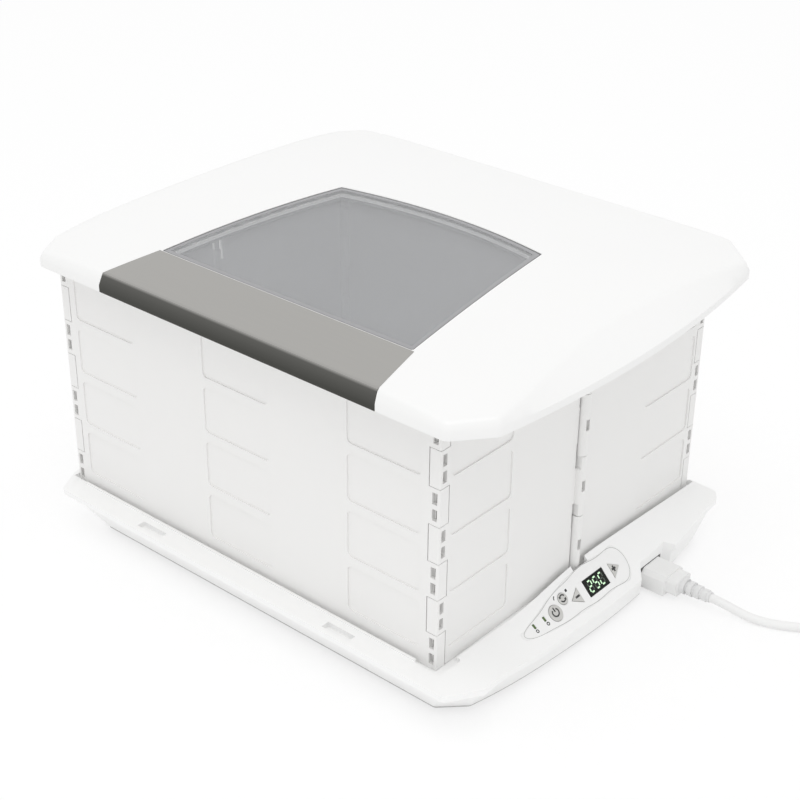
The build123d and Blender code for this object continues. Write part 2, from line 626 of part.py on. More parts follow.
save(base_shell.part, "base_shell")


# ---------------------------------------------------------------- under the base
with BuildPart() as bottom_cover:
    add(prism(shoe_plan(COVER_INSET), FOOT_H, SKIRT_Z - SEAM))
    chamfer(bottom_cover.faces().sort_by(Axis.Z)[0].edges(), COVER_BEVEL)
    with Locations(*[(x, y, (SKIRT_Z + WELL_Z) / 2 - SEAM) for x, y in COVER_SCREWS]):
        Cylinder(COVER_POST_D / 2, WELL_Z - SKIRT_Z)
    with Locations(*[(x, y, (FOOT_H + WELL_Z) / 2) for x, y in COVER_SCREWS]):
        Cylinder(SCREW_D / 2 + FIT, WELL_Z, mode=Mode.SUBTRACT)
    with Locations(*[(x, y, FOOT_H) for x, y in COVER_SCREWS]):
        Cylinder(SCREW_HEAD_D / 2 + FIT, 2 * HEAD_SINK, mode=Mode.SUBTRACT)
    add(prism(notch_plan(0), UNDER_Z, TALL), mode=Mode.SUBTRACT)
    with Locations((NOTCH_X, INLET_Y, FOOT_H)):
        Box(2 * (INLET_DEPTH + SKIN + 2 * FIT), INLET_W + 4 * FIT, WELL_Z, mode=Mode.SUBTRACT)
    vents = [(VENT_X + step * VENT_PITCH, VENT_Y, FOOT_H) for step in range(VENT_COUNT)]
    with Locations(*vents):
        Box(VENT_W, VENT_LONG, WELL_Z, mode=Mode.SUBTRACT)
save(bottom_cover.part, "bottom_cover")

with BuildPart() as rubber_feet:
    with Locations(*[(x, y, FOOT_H / 2) for x in FOOT_X for y in FOOT_Y]):
        Cylinder(FOOT_D / 2, FOOT_H)
    chamfer(rubber_feet.faces().group_by(Axis.Z)[0].edges(), FOOT_H / 5)
save(rubber_feet.part, "rubber_feet")


def screws(places, plan, length):
    """Socket screws: a flat head at the plan's height and a shank going up from it."""
    with BuildPart() as group:
        with BuildSketch(plan):
            with Locations(*places):
                Circle(SCREW_HEAD_D / 2)
        extrude(amount=SCREW_HEAD_T)
        with BuildSketch(plan):
            with Locations(*places):
                Circle(SCREW_D / 2 - SCREW_BITE)
        extrude(amount=length)
        with BuildSketch(plan):
            with Locations(*places):
                RegularPolygon(SCREW_D / 2, 6)
        extrude(amount=SCREW_HEAD_T / 2, mode=Mode.SUBTRACT)
    return group.part


save(screws(COVER_SCREWS, Plane.XY.offset(FOOT_H + HEAD_SINK - SCREW_HEAD_T), COVER_SCREW), "base_screws")

# ---------------------------------------------------------------- heater under the well
save(prism(well_plan(-FIT), PLATE_Z, PLATE_Z + PLATE_T), "heater_plate")

with BuildPart() as heating_element:
    points, reach_x = [], WELL_W / 2 - HEATER_MARGIN
    for row in range(HEATER_ROWS):
        y = (row - (HEATER_ROWS - 1) / 2) * HEATER_PITCH
        ends = (WELL_MID_X - reach_x, WELL_MID_X + reach_x)
        points += [(x, y) for x in (ends if row % 2 else ends[::-1])]
    with BuildSketch(Plane.XY.offset(PLATE_Z - HEATER_T)) as ribbon:
        with BuildLine():
            track = FilletPolyline(*points, radius=HEATER_PITCH / 2 - SEAM)
        trace(track, line_width=HEATER_W)
    extrude(amount=HEATER_T - SEAM / 3)
save(heating_element.part, "heating_element")

with BuildPart() as insulation_board:
    add(prism(well_plan(-PLATE_RIM - FIT), INSULATION_Z, INSULATION_Z + INSULATION_T))
save(insulation_board.part, "insulation_board")

with BuildPart() as temperature_sensor:
    with Locations((SENSOR_X, SENSOR_Y, PLATE_Z + PLATE_T + SENSOR_H / 2)):
        Cylinder(SENSOR_D / 2, SENSOR_H)
    fillet(temperature_sensor.edges().group_by(Axis.Z)[-1], SENSOR_H / 3)
save(temperature_sensor.part, "temperature_sensor")

# ---------------------------------------------------------------- boards under the control side
with BuildPart() as power_board:
    with Locations((POWER_BOARD_X, POWER_BOARD_Y, POWER_BOARD_Z)):
        Box(POWER_BOARD_W, POWER_BOARD_L, BOARD_T)
        for x, y, w, d, h in POWER_BLOCKS:
            with Locations((x, y, BOARD_T / 2 + h / 2)):
                Box(w, d, h)
        with Locations((CAP_AT[0], CAP_AT[1], BOARD_T / 2 + CAP_H / 2)):
            Cylinder(CAP_D / 2, CAP_H)
save(power_board.part, "power_board")

with BuildPart() as board_posts:
    foot_z, head_z = SKIRT_Z - SEAM, POWER_BOARD_Z - BOARD_T / 2
    places = [(POWER_BOARD_X, POWER_BOARD_Y + side * BOARD_POST_Y) for side in (-1, 1)]
    with Locations(*[(x, y, (foot_z + head_z) / 2) for x, y in places]):
        Cylinder(COVER_POST_D / 2, head_z - foot_z)
save(board_posts.part, "board_posts")

with BuildPart() as control_board:
    with BuildSketch(CONTROL.offset(-BOARD_DEPTH)) as board:
        Rectangle(BOARD_W, BOARD_L)
    extrude(board.sketch, amount=-BOARD_T)
save(control_board.part, "control_board")

with BuildPart() as button_switches:
    for kind, place in BUTTONS:
        at = on_control(place if kind in ("power", "mode") else arrow_middle(kind, place))
        with BuildSketch(CONTROL.offset(-BOARD_DEPTH)) as body:
            with Locations((at.X, at.Y)):
                Rectangle(SWITCH_W, SWITCH_W)
        extrude(body.sketch, amount=SWITCH_H)
        with BuildSketch(CONTROL.offset(-BOARD_DEPTH + SWITCH_H)) as tip:
            with Locations((at.X, at.Y)):
                Circle(SWITCH_TIP_D / 2)
        extrude(tip.sketch, amount=SWITCH_TIP)
save(button_switches.part, "button_switches")

save(
    (prism(panel_plan(0), UNDER_Z, TALL) & (side_form(0) - side_form(-PANEL_T + PANEL_FLOOR))) - CUTS,
    "control_panel",
)

lens_block = side_form(0) - side_form(-LENS_T)
with BuildPart() as display_lens:
    extrude(control_sketch("display", DISPLAY_AT, 0, 2 * LENS_T), amount=4 * LENS_T)
    add(lens_block, mode=Mode.INTERSECT)
save(display_lens.part, "display_lens")

with BuildPart() as display_module:
    extrude(control_sketch("display", DISPLAY_AT, -MODULE_IN, BOARD_DEPTH - BOARD_GAP), amount=MODULE_T)
save(display_module.part, "display_module")

with BuildPart() as indicator_lights:
    for place in LIGHTS_AT:
        extrude(control_sketch("light", place, 0, LIGHT_DEPTH), amount=2 * LIGHT_DEPTH)
    add(side_form(0), mode=Mode.INTERSECT)
save(indicator_lights.part, "indicator_lights")

for kind, place in BUTTONS:
    middle = place if kind in ("power", "mode") else arrow_middle(kind, place)
    at, foot = on_control(place), on_control(middle)
    flange_top = SIDE_SKIN * math.cos(TILT) + BUTTON_SINK
    with BuildPart() as button:
        extrude(control_sketch(kind, place, 0, flange_top), amount=2 * flange_top)
        add(side_form(BUTTON_PROUD), mode=Mode.INTERSECT)
        extrude(control_sketch(kind, place, CAP_FLANGE, flange_top), amount=-CAP_FLANGE_T)
        stem = BOARD_DEPTH + at.Z - flange_top - SWITCH_H - SWITCH_TIP - STEM_GAP
        extrude(control_sketch("stem", middle, 0, flange_top + foot.Z - at.Z), amount=-stem)
    save(button.part, kind + "_button")


# ---------------------------------------------------------------- lid
def lid_plan(inset):
    """Outline of the lid at its rim."""
    left, right = moved(LID_LEFT, inset), moved(LID_RIGHT, -inset)
    return bowed_plan(LID_FRONT + inset, LID_BACK - inset, left, right, LID_CUTS, LID_ROUND)


def lid_top_plan(inset):
    """Outline that the sloping sides of the lid run up to."""
    left, right = moved(LID_TOP_LEFT, inset), moved(LID_TOP_RIGHT, -inset)
    return bowed_plan(LID_TOP_FRONT + inset, LID_TOP_BACK - inset, left, right, LID_CUTS, LID_ROUND)


def crown_body(drop):
    """Helper solid under the crown, lowered: bent from front to back, falling to both sides."""
    axis_z = CROWN_Z - CROWN_R
    half_turn = math.radians(CROWN_TURN)
    far, near = math.radians(CROWN_FALL), math.radians(CROWN_FALL / 2)
    top = CROWN_R - drop
    fall_x = CROWN_FLAT + CROWN_SIDE_R * math.sin(far)
    mid_x = CROWN_FLAT + CROWN_SIDE_R * math.sin(near)
    fall = top - CROWN_SIDE_R * (1 - math.cos(far))
    mid = top - CROWN_SIDE_R * (1 - math.cos(near))
    start = Plane(
        origin=(0, 0, axis_z),
        x_dir=(1, 0, 0),
        z_dir=(0, -math.cos(half_turn), -math.sin(half_turn)),
    )
    with BuildPart() as body:
        with BuildSketch(start):
            with BuildLine():
                Line((-CROWN_FLAT, top), (CROWN_FLAT, top))
                ThreePointArc((CROWN_FLAT, top), (mid_x, mid), (fall_x, fall))
                Polyline((fall_x, fall), (fall_x, top - TALL), (-fall_x, top - TALL), (-fall_x, fall))
                ThreePointArc((-fall_x, fall), (-mid_x, mid), (-CROWN_FLAT, top))
            make_face()
        revolve(axis=Axis((0, 0, axis_z), (-1, 0, 0)), revolution_arc=2 * math.degrees(half_turn))
    return body.part


def columns(places, diameter, z0, height):
    """Upright cylinders at some places."""
    with BuildPart() as group:
        with BuildSketch(Plane.XY.offset(z0)):
            with Locations(*places):
                Circle(diameter / 2)
        extrude(amount=height)
    return group.part


def lid_block(inset, top_inset):
    """Solid inside the lid's sides: an upright edge, then the sloping sides."""
    with BuildPart() as block:
        with BuildSketch(Plane.XY.offset(LID_RIM_Z)):
            add(lid_plan(inset))
        extrude(amount=LID_EDGE)
        with BuildSketch(Plane.XY.offset(LID_RIM_Z + LID_EDGE)):
            add(lid_plan(inset))
        with BuildSketch(Plane.XY.offset(LID_TOP_Z)):
            add(lid_top_plan(top_inset))
        loft(ruled=True)
        with BuildSketch(Plane.XY.offset(LID_TOP_Z)):
            add(lid_top_plan(top_inset))
        extrude(amount=CROWN_Z - LID_TOP_Z + SKIN)
    return block.part


def window_plan(grow):
    """Outline of the window: a trapezoid with a bowed back and slightly bowed sides."""
    front, back = WINDOW_FRONT - grow, WINDOW_BACK + grow
    near, far = WINDOW_FRONT_HALF + grow, WINDOW_BACK_HALF + grow
    bow = (near + far) / 2 + WINDOW_SIDE_BOW
    middle = (front + back) / 2
    with BuildSketch() as plan:
        with BuildLine():
            Line((WINDOW_X - near, front), (WINDOW_X + near, front))
            ThreePointArc((WINDOW_X + near, front), (WINDOW_X + bow, middle), (WINDOW_X + far, back))
            ThreePointArc(
                (WINDOW_X + far, back), (WINDOW_X, back + WINDOW_BOW), (WINDOW_X - far, back)
            )
            ThreePointArc((WINDOW_X - far, back), (WINDOW_X - bow, middle), (WINDOW_X - near, front))
        make_face()
        fillet(plan.vertices(), WINDOW_ROUND)
    return plan.sketch


def strip_plan(grow):
    """Outline of the metal strip along the front of the lid, in plan."""
    back, front = WINDOW_FRONT - STRIP_GAP + grow, LID_FRONT - SKIN
    near, far = STRIP_FRONT_HALF + grow, STRIP_BACK_HALF + grow
    with BuildSketch() as plan:
        Polygon(
            (WINDOW_X - near, front), (WINDOW_X + near, front), (WINDOW_X + far, back),
            (WINDOW_X - far, back), align=None,
        )
    return plan.sketch


LID_SOLID = lid_block(0, 0) & crown_body(0)
LID_HEAD_Z = LINER_Z + HEAD_SINK - SCREW_HEAD_T
with BuildPart() as lid_shell:
    add(LID_SOLID)
    shoulder = lid_shell.edges().filter_by(lambda e: e.center().Z > LID_RIM_Z + LID_EDGE + SKIN / 2)
    fillet(shoulder, SHOULDER)
    inside = lid_block(LID_SKIN, LID_TOP_SKIN) & crown_body(LID_SKIN)
    inside -= prism(window_plan(FRAME_W), LID_RIM_Z, 2 * CROWN_Z) - crown_body(FRAME_T)
    inside -= columns(LID_SCREWS, LID_BOSS_D, LINER_Z + LINER_T + FIT, TALL)
    inside += prism(lid_plan(LID_SKIN), LID_RIM_Z - SKIN, LID_RIM_Z + SEAM)
    add(inside, mode=Mode.SUBTRACT)
    add(prism(window_plan(-PANE_LEDGE), UNDER_Z, 2 * CROWN_Z), mode=Mode.SUBTRACT)
    rebate = prism(window_plan(PANE_GAP), LID_RIM_Z, 2 * CROWN_Z) - crown_body(PANE_SINK + PANE_T)
    add(rebate, mode=Mode.SUBTRACT)
    over = prism(strip_plan(STRIP_EDGE), UNDER_Z, 2 * CROWN_Z)
    add(over - (lid_block(STRIP_T, STRIP_T) & crown_body(STRIP_T)), mode=Mode.SUBTRACT)
    with Locations(*[(x, y, LID_HEAD_Z) for x, y in LID_SCREWS]):
        Cylinder(SCREW_D / 2 - SCREW_BITE, 2 * (LID_SCREW + FIT), mode=Mode.SUBTRACT)
save(lid_shell.part, "lid_shell")

pane = prism(window_plan(0), LID_RIM_Z, 2 * CROWN_Z)
save(pane & (crown_body(PANE_SINK) - crown_body(PANE_SINK + PANE_T)), "window_outer")

strip_solid = prism(strip_plan(0), UNDER_Z, 2 * CROWN_Z) & LID_SOLID
save(strip_solid - (lid_block(STRIP_T, STRIP_T) & crown_body(STRIP_T)), "front_strip")

liner_open = prism(window_plan(LINER_OPEN), UNDER_Z, 2 * CROWN_Z)
with BuildPart() as lid_liner:
    add(prism(lid_plan(LINER_IN), LINER_Z, LINER_Z + LINER_T))
    for side in (-1, 1):
        across = side * (HALF_Y + LIP_GAP + LIP_T / 2)
        along = side * (HALF_X + LIP_GAP + LIP_T / 2)
        with Locations((WALL_MID_X, across, (LID_RIM_Z + LINER_Z) / 2)):
            Box(2 * LIP_LONG, LIP_T, LINER_Z - LID_RIM_Z)
        ends = [(WALL_MID_X + along, end * LIP_SIDE_Y, (LID_RIM_Z + LINER_Z) / 2) for end in (-1, 1)]
        with Locations(*ends):
            Box(LIP_T, LIP_SHORT, LINER_Z - LID_RIM_Z)
    add(liner_open, mode=Mode.SUBTRACT)
    with Locations(*[(x, y, LINER_Z) for x, y in LID_SCREWS]):
        Cylinder(SCREW_D / 2 + FIT, 4 * LINER_T, mode=Mode.SUBTRACT)
        Cylinder(SCREW_HEAD_D / 2 + FIT, 2 * HEAD_SINK, mode=Mode.SUBTRACT)
save(lid_liner.part, "lid_liner")
save(screws(LID_SCREWS, Plane.XY.offset(LID_HEAD_Z), LID_SCREW), "lid_screws")

# a foam ring holds the inner pane under the frame of the window
under_frame = prism(window_plan(FRAME_W - SPACER_IN), UNDER_Z, 2 * CROWN_Z)
spacer = under_frame & (crown_body(FRAME_T) - crown_body(FRAME_T + SPACER_T))
save(spacer - prism(window_plan(-PANE_LEDGE), UNDER_Z, 2 * CROWN_Z), "window_spacer")
pane_top = FRAME_T + SPACER_T
save(under_frame & (crown_body(pane_top) - crown_body(pane_top + PANE_T)), "window_inner")

# ---------------------------------------------------------------- tray and rack
with BuildPart() as water_tray:
    floor_z = PLATE_Z + PLATE_T + SEAM
    for inset, z0, mode in ((0, 0, Mode.ADD), (TRAY_WALL, TRAY_WALL, Mode.SUBTRACT)):
        for taper, z in ((TRAY_TAPER, floor_z + z0), (0, floor_z + TRAY_H)):
            with BuildSketch(Plane.XY.offset(z)):
                with Locations((WELL_MID_X, 0)):
                    shrink = 2 * (taper + inset)
                    RectangleRounded(TRAY_L - shrink, TRAY_W - shrink, TRAY_ROUND - inset)
        loft(ruled=True, mode=mode)
save(water_tray.part, "water_tray")

with BuildPart() as wire_rack:
    half_l, half_w = RACK_L / 2, RACK_W / 2
    x0, x1 = WELL_MID_X - half_l, WELL_MID_X + half_l
    corners = ((x0, -half_w, RACK_Z), (x1, -half_w, RACK_Z), (x1, half_w, RACK_Z), (x0, half_w, RACK_Z))
    with BuildLine() as loop:
        FilletPolyline(*corners, radius=RACK_ROUND, close=True)
    with BuildSketch(Plane(loop.wire() @ 0, z_dir=loop.wire() % 0)):
        Circle(RACK_WIRE / 2)
    sweep(path=loop.wire())
    bar_z = RACK_Z - RACK_WIRE / 2
    bars = [(WELL_MID_X + (i - (RACK_BARS - 1) / 2) * RACK_PITCH, 0, bar_z) for i in range(RACK_BARS)]
    with Locations(*bars):
        Cylinder(RACK_BAR / 2, RACK_W - 2 * SEAM, rotation=(90, 0, 0))
    leg = RACK_Z - PLATE_Z - PLATE_T - SEAM
    feet = [(WELL_MID_X + sx * (half_l - RACK_LEG_IN), sy * half_w) for sx in (-1, 1) for sy in (-1, 1)]
    with Locations(*[(x, y, RACK_Z - leg / 2) for x, y in feet]):
        Cylinder(RACK_LEG_D / 2, leg)
save(wire_rack.part, "wire_rack")

# ---------------------------------------------------------------- mains inlet and cord set
with BuildPart() as mains_inlet:
    back_x = NOTCH_X - SKIN - FIT
    with Locations((back_x - INLET_DEPTH / 2, INLET_Y, INLET_Z)):
        Box(INLET_DEPTH, INLET_W, INLET_H)
    face = Plane(origin=(back_x, INLET_Y, INLET_Z), x_dir=(0, 1, 0), z_dir=(1, 0, 0))
    with BuildSketch(face):
        Rectangle(INLET_W - 2 * SEAM, INLET_H - 2 * SEAM)
    extrude(amount=SKIN)
    with BuildSketch(face.offset(SKIN)):
        Rectangle(NOSE_W + 4 * FIT, NOSE_H + 4 * FIT)
    extrude(amount=-NOSE_L - SKIN, mode=Mode.SUBTRACT)
save(mains_inlet.part, "mains_inlet")

CONNECTOR_X = NOTCH_X + FIT  # seat of the connector body
connector = Plane(origin=(CONNECTOR_X, INLET_Y, INLET_Z), x_dir=(0, 1, 0), z_dir=(1, 0, 0))
nose_floor = back_x - NOSE_L
with BuildPart() as inlet_contacts:
    with BuildSketch(Plane(origin=(nose_floor, INLET_Y, INLET_Z), x_dir=(0, 1, 0), z_dir=(1, 0, 0))):
        with Locations((-PIN_SPREAD, -PIN_DROP), (0, PIN_DROP), (PIN_SPREAD, -PIN_DROP)):
            Rectangle(CONTACT_T, CONTACT_W)
    extrude(amount=CONTACT_L)
save(inlet_contacts.part, "inlet_contacts")

with BuildPart() as appliance_connector:
    with BuildSketch(connector):
        Rectangle(NOSE_W, NOSE_H)
    extrude(amount=-NOSE_L + FIT)
    with BuildSketch(connector.offset(-NOSE_L)):
        with Locations((-PIN_SPREAD, -PIN_DROP), (0, PIN_DROP), (PIN_SPREAD, -PIN_DROP)):
            Rectangle(CONTACT_T + 2 * FIT, CONTACT_W + 2 * FIT)
    extrude(amount=CONTACT_L + FIT, mode=Mode.SUBTRACT)
    half_w, half_h = PLUG_BODY_W / 2, PLUG_BODY_H / 2
    with BuildSketch(connector):
        Polygon(
            (-half_w, -half_h), (half_w, -half_h), (half_w, half_h - PLUG_CUT),
            (half_w - PLUG_CUT, half_h), (PLUG_CUT - half_w, half_h), (-half_w, half_h - PLUG_CUT),
            align=None,
        )
    extrude(amount=PLUG_BODY_L)
    with BuildSketch(connector.offset(PLUG_BODY_L)):
        RectangleRounded(COLLAR_W, COLLAR_H, PLUG_CUT)
    extrude(amount=COLLAR_L)
save(appliance_connector.part, "appliance_connector")

relief_x = CONNECTOR_X + PLUG_BODY_L + COLLAR_L
exit_x = relief_x + RELIEF_L


def relief(plane, length, root_d, end_d, ribs):
    """Ribbed strain relief from a plane: rings on a thinner core, bored for the cord's end."""
    with BuildPart() as body:
        with BuildSketch(plane):
            Circle(CORD_D / 2 + RELIEF_CORE)
        extrude(amount=length)
        pitch = length / ribs
        for i in range(ribs):
            d = root_d + (end_d - root_d) * i / (ribs - 1)
            with BuildSketch(plane.offset(i * pitch)):
                Circle(d / 2)
            extrude(amount=pitch * RIB_SHARE)
        with BuildSketch(plane.offset(length)):
            Circle(CORD_D / 2)
        extrude(amount=-RELIEF_BORE, mode=Mode.SUBTRACT)
    return body.part


exit_plane = Plane(origin=(relief_x, INLET_Y, INLET_Z), x_dir=(0, 1, 0), z_dir=(1, 0, 0))
save(relief(exit_plane, RELIEF_L, RELIEF_D0, RELIEF_D1, RELIEF_RIBS), "strain_relief")

# the cord comes straight out of the relief, down to the table, and runs to its coil
CORD_ROUTE = (
    (exit_x - RELIEF_BORE, INLET_Y, INLET_Z),
    (exit_x + RELIEF_BORE, INLET_Y, INLET_Z),
    (289.0, 79.5, CORD_Z),
    (312.5, 88.5, CORD_Z),
    (337.0, 106.0, CORD_Z),
    (364.0, 120.5, CORD_Z),
    (390.0, 131.0, CORD_Z),
)


def bend_radii(points):
    """Radius at each inner point: a share of the shorter run over the tangent of half the turn."""
    radii = []
    for before, here, after in zip(points, points[1:], points[2:]):
        first, second = Vector(*here) - Vector(*before), Vector(*after) - Vector(*here)
        half = math.radians(first.get_angle(second)) / 2
        radii.append(BEND_SHARE * min(first.length, second.length) / math.tan(half))
    return radii


RADII = bend_radii(CORD_ROUTE)
print("cord bend radii", [round(r, 1) for r in RADII])
with BuildPart() as cord:
    with BuildLine() as route:
        FilletPolyline(*CORD_ROUTE, radius=RADII)
    with BuildSketch(Plane(route.wire() @ 0, z_dir=route.wire() % 0)):
        Circle(CORD_D / 2)
    sweep(path=route.wire())
save(cord.part, "cord")


# the rest of the cord is put away as a round coil, three turns wide and two high
def coil_ring(grow):
    """Ring round all the turns of the coil, grown or shrunk."""
    with BuildPart() as ring:
        with BuildSketch(Plane.XZ):
            with Locations((COIL_D / 2, COIL_LAYERS * CORD_D / 2)):
                wide, high = COIL_COLUMNS * CORD_D + 2 * grow, COIL_LAYERS * CORD_D + 2 * grow
                RectangleRounded(wide, high, CORD_D / 2 + grow)
        revolve(axis=Axis.Z)
    return ring.part.moved(Location((*COIL_AT, 0)))


def tie_slab(grow):
    """Upright slab across the coil where its tie goes round."""
    turn = Location((*COIL_AT, 0), (0, 0, TIE_ANGLE))
    with BuildPart() as slab:
        with Locations(Location((COIL_D / 2, 0, 0))):
            Box(TALL, TIE_W + 2 * grow, 2 * TALL)
    return slab.part.moved(turn)


tie_inside = coil_ring(-TIE_T) & tie_slab(0)
with BuildPart() as cord_tie:
    add(coil_ring(0) & tie_slab(0))
    add(tie_inside, mode=Mode.SUBTRACT)
save(cord_tie.part, "cord_tie")

with BuildPart() as cord_coil:
    add(coil_ring(0))
    add(coil_ring(0) & tie_slab(FIT), mode=Mode.SUBTRACT)
    add(coil_ring(-TIE_T - FIT) & tie_slab(2 * FIT))
save(cord_coil.part, "cord_coil")

# the plug lies beside the coil, where the last turn leaves it along -Y
plug_x, tip_y = COIL_AT[0] + COIL_D / 2 + CORD_D, COIL_AT[1] - PLUG_AWAY
plug_z = (COIL_LAYERS - 0.5) * CORD_D
plug_plane = Plane(origin=(plug_x, tip_y - RELIEF_L, plug_z), x_dir=(1, 0, 0), z_dir=(0, 1, 0))
with BuildPart() as mains_plug:
    add(relief(plug_plane, RELIEF_L, RELIEF_D0, PLUG_TIP_D, RELIEF_RIBS))
    with BuildSketch(plug_plane):
        Circle(RELIEF_D0 / 2)
    with BuildSketch(plug_plane.offset(-PLUG_NECK)):
        RectangleRounded(PLUG_W, PLUG_H, PLUG_ROUND)
    loft()
    with BuildSketch(plug_plane.offset(-PLUG_NECK)):
        RectangleRounded(PLUG_W, PLUG_H, PLUG_ROUND)
    extrude(amount=PLUG_NECK - PLUG_L)
    with BuildSketch(plug_plane.offset(-PLUG_L)):
        with Locations(*BLADES_AT):
            Rectangle(BLADE_W + FIT, BLADE_T + FIT)
        with Locations(EARTH_AT):
            Circle(EARTH_D / 2 + FIT / 2)
    extrude(amount=BLADE_ROOT, mode=Mode.SUBTRACT)
save(mains_plug.part, "mains_plug")

with BuildPart() as plug_blades:
    with BuildSketch(plug_plane.offset(BLADE_ROOT - PLUG_L)):
        with Locations(*BLADES_AT):
            Rectangle(BLADE_W, BLADE_T)
    extrude(amount=-BLADE_ROOT - BLADE_L)
    with BuildSketch(plug_plane.offset(BLADE_ROOT - PLUG_L)):
        with Locations(EARTH_AT):
            Circle(EARTH_D / 2)
    extrude(amount=-BLADE_ROOT - EARTH_L)
save(plug_blades.part, "plug_blades")
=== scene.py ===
from math import cos, pi, radians, sin

import bpy
import numpy as np
from mathutils import Matrix, Vector


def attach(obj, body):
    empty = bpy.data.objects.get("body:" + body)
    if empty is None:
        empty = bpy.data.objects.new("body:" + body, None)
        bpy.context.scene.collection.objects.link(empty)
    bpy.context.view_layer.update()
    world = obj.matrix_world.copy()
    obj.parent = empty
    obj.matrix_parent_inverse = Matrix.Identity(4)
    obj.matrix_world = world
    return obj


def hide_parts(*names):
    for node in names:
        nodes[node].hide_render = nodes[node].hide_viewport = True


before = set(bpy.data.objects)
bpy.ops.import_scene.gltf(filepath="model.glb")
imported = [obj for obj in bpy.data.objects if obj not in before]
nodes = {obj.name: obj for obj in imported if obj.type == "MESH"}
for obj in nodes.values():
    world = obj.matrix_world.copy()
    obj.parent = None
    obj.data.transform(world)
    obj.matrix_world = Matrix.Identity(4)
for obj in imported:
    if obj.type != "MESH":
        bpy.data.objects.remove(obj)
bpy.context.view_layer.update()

bpy.context.scene.view_settings.view_transform = "Standard"

# ---------------------------------------------------------------- table and backdrop
# A white table top that runs on without an edge. It shows as plain white and keeps a
# faint shadow of the proofer.
TABLE_HALF = 6.0
TABLE_GLOW = 0.72
WHITE = (1.0, 1.0, 1.0, 1.0)


def feed(tree, socket, value):
    """Sets an input to a value, or links it to another node's output."""
    if isinstance(value, bpy.types.NodeSocket):
        tree.links.new(value, socket)
    else:
        socket.default_value = value


def add_node(tree, kind, *values, **named):
    """A shader node, its inputs fed in their order or by name, with _ for a space."""
    node = tree.nodes.new("ShaderNode" + kind)
    for socket, value in zip(node.inputs, values):
        feed(tree, socket, value)
    for name, value in named.items():
        feed(tree, node.inputs[name.replace("_", " ")], value)
    return node


def arithmetic(tree, operation, first, second):
    """The result of one Math node."""
    node = add_node(tree, "Math", first, second)
    node.operation = operation
    return node.outputs[0]


def seen_directly(tree):
    """1 for rays from the camera and for those that a mirror or a pane sends on."""
    rays = add_node(tree, "LightPath").outputs
    sent_on = arithmetic(tree, "MAXIMUM", rays["Is Glossy Ray"], rays["Is Transmission Ray"])
    return arithmetic(tree, "MAXIMUM", rays["Is Camera Ray"], sent_on)


def show_mix(tree, output, share, first, second):
    """Ends a tree: its output shows two shaders, mixed by the share of the second."""
    mix = add_node(tree, "MixShader", share, first.outputs[0], second.outputs[0])
    add_node(tree, output, Surface=mix.outputs[0])


def add_object(name, data):
    """A new object in the scene, at the origin."""
    piece = bpy.data.objects.new(name, data)
    bpy.context.scene.collection.objects.link(piece)
    return piece


table_white = bpy.data.materials.new("table_white")
table_white.use_nodes = True
tree = table_white.node_tree
tree.nodes.clear()
matt = add_node(tree, "BsdfDiffuse", Color=WHITE)
glow = add_node(tree, "Emission", Color=WHITE, Strength=1.0)
glow_share = arithmetic(tree, "MULTIPLY", seen_directly(tree), TABLE_GLOW)
show_mix(tree, "OutputMaterial", glow_share, matt, glow)

table_mesh = bpy.data.meshes.new("table")
corners = [(x * TABLE_HALF, y * TABLE_HALF, 0) for x, y in ((-1, -1), (1, -1), (1, 1), (-1, 1))]
table_mesh.from_pydata(corners, [], [(0, 1, 2, 3)])
table_mesh.materials.append(table_white)
add_object("table", table_mesh)

# ---------------------------------------------------------------- light
# Soft white light from all round, and a large lamp high above on the near side that
# brightens what faces up.
ROOM_LIGHT = 0.84
LAMP_AT, LAMP_AIM = Vector((0.5, -0.9, 3.2)), Vector((0.0, 0.0, 0.1))
LAMP_SIZE, LAMP_POWER = 2.4, 26.0

world = bpy.data.worlds.new("white_room")
bpy.context.scene.world = world
world.use_nodes = True
tree = world.node_tree
tree.nodes.clear()
room = add_node(tree, "Background", Color=WHITE, Strength=ROOM_LIGHT)
shown = add_node(tree, "Background", Color=WHITE, Strength=1.0)
show_mix(tree, "OutputWorld", seen_directly(tree), room, shown)

lamp_data = bpy.data.lights.new("overhead_lamp", "AREA")
lamp_data.size, lamp_data.energy = LAMP_SIZE, LAMP_POWER
lamp = add_object("overhead_lamp", lamp_data)
lamp.location = LAMP_AT
lamp.rotation_euler = (LAMP_AIM - LAMP_AT).to_track_quat("-Z", "Y").to_euler()

# ---------------------------------------------------------------- camera
# It looks down at the near right corner of the proofer with a mild tele lens. The angles
# are in degrees, and the lens and the sensor in millimetres.
CAMERA_AT = (0.734156, -0.856852, 0.742770)
CAMERA_TURN, CAMERA_DOWN, CAMERA_ROLL = 40.468, 28.869, 0.6
CAMERA_LENS, SENSOR_W = 73.12, 36.0

turn, down, roll = (radians(a) for a in (CAMERA_TURN, CAMERA_DOWN, CAMERA_ROLL))
ahead = Vector((-sin(turn) * cos(down), cos(turn) * cos(down), -sin(down)))
level = Vector((cos(turn), sin(turn), 0.0))
across = cos(roll) * level + sin(roll) * level.cross(ahead)
upward = across.cross(ahead)
camera_data = bpy.data.cameras.new("camera")
camera_data.lens, camera_data.sensor_width = CAMERA_LENS, SENSOR_W
camera = add_object("camera", camera_data)
facing = Matrix((across, upward, -ahead)).transposed().to_4x4()
camera.matrix_world = Matrix.Translation(CAMERA_AT) @ facing
bpy.context.scene.camera = camera

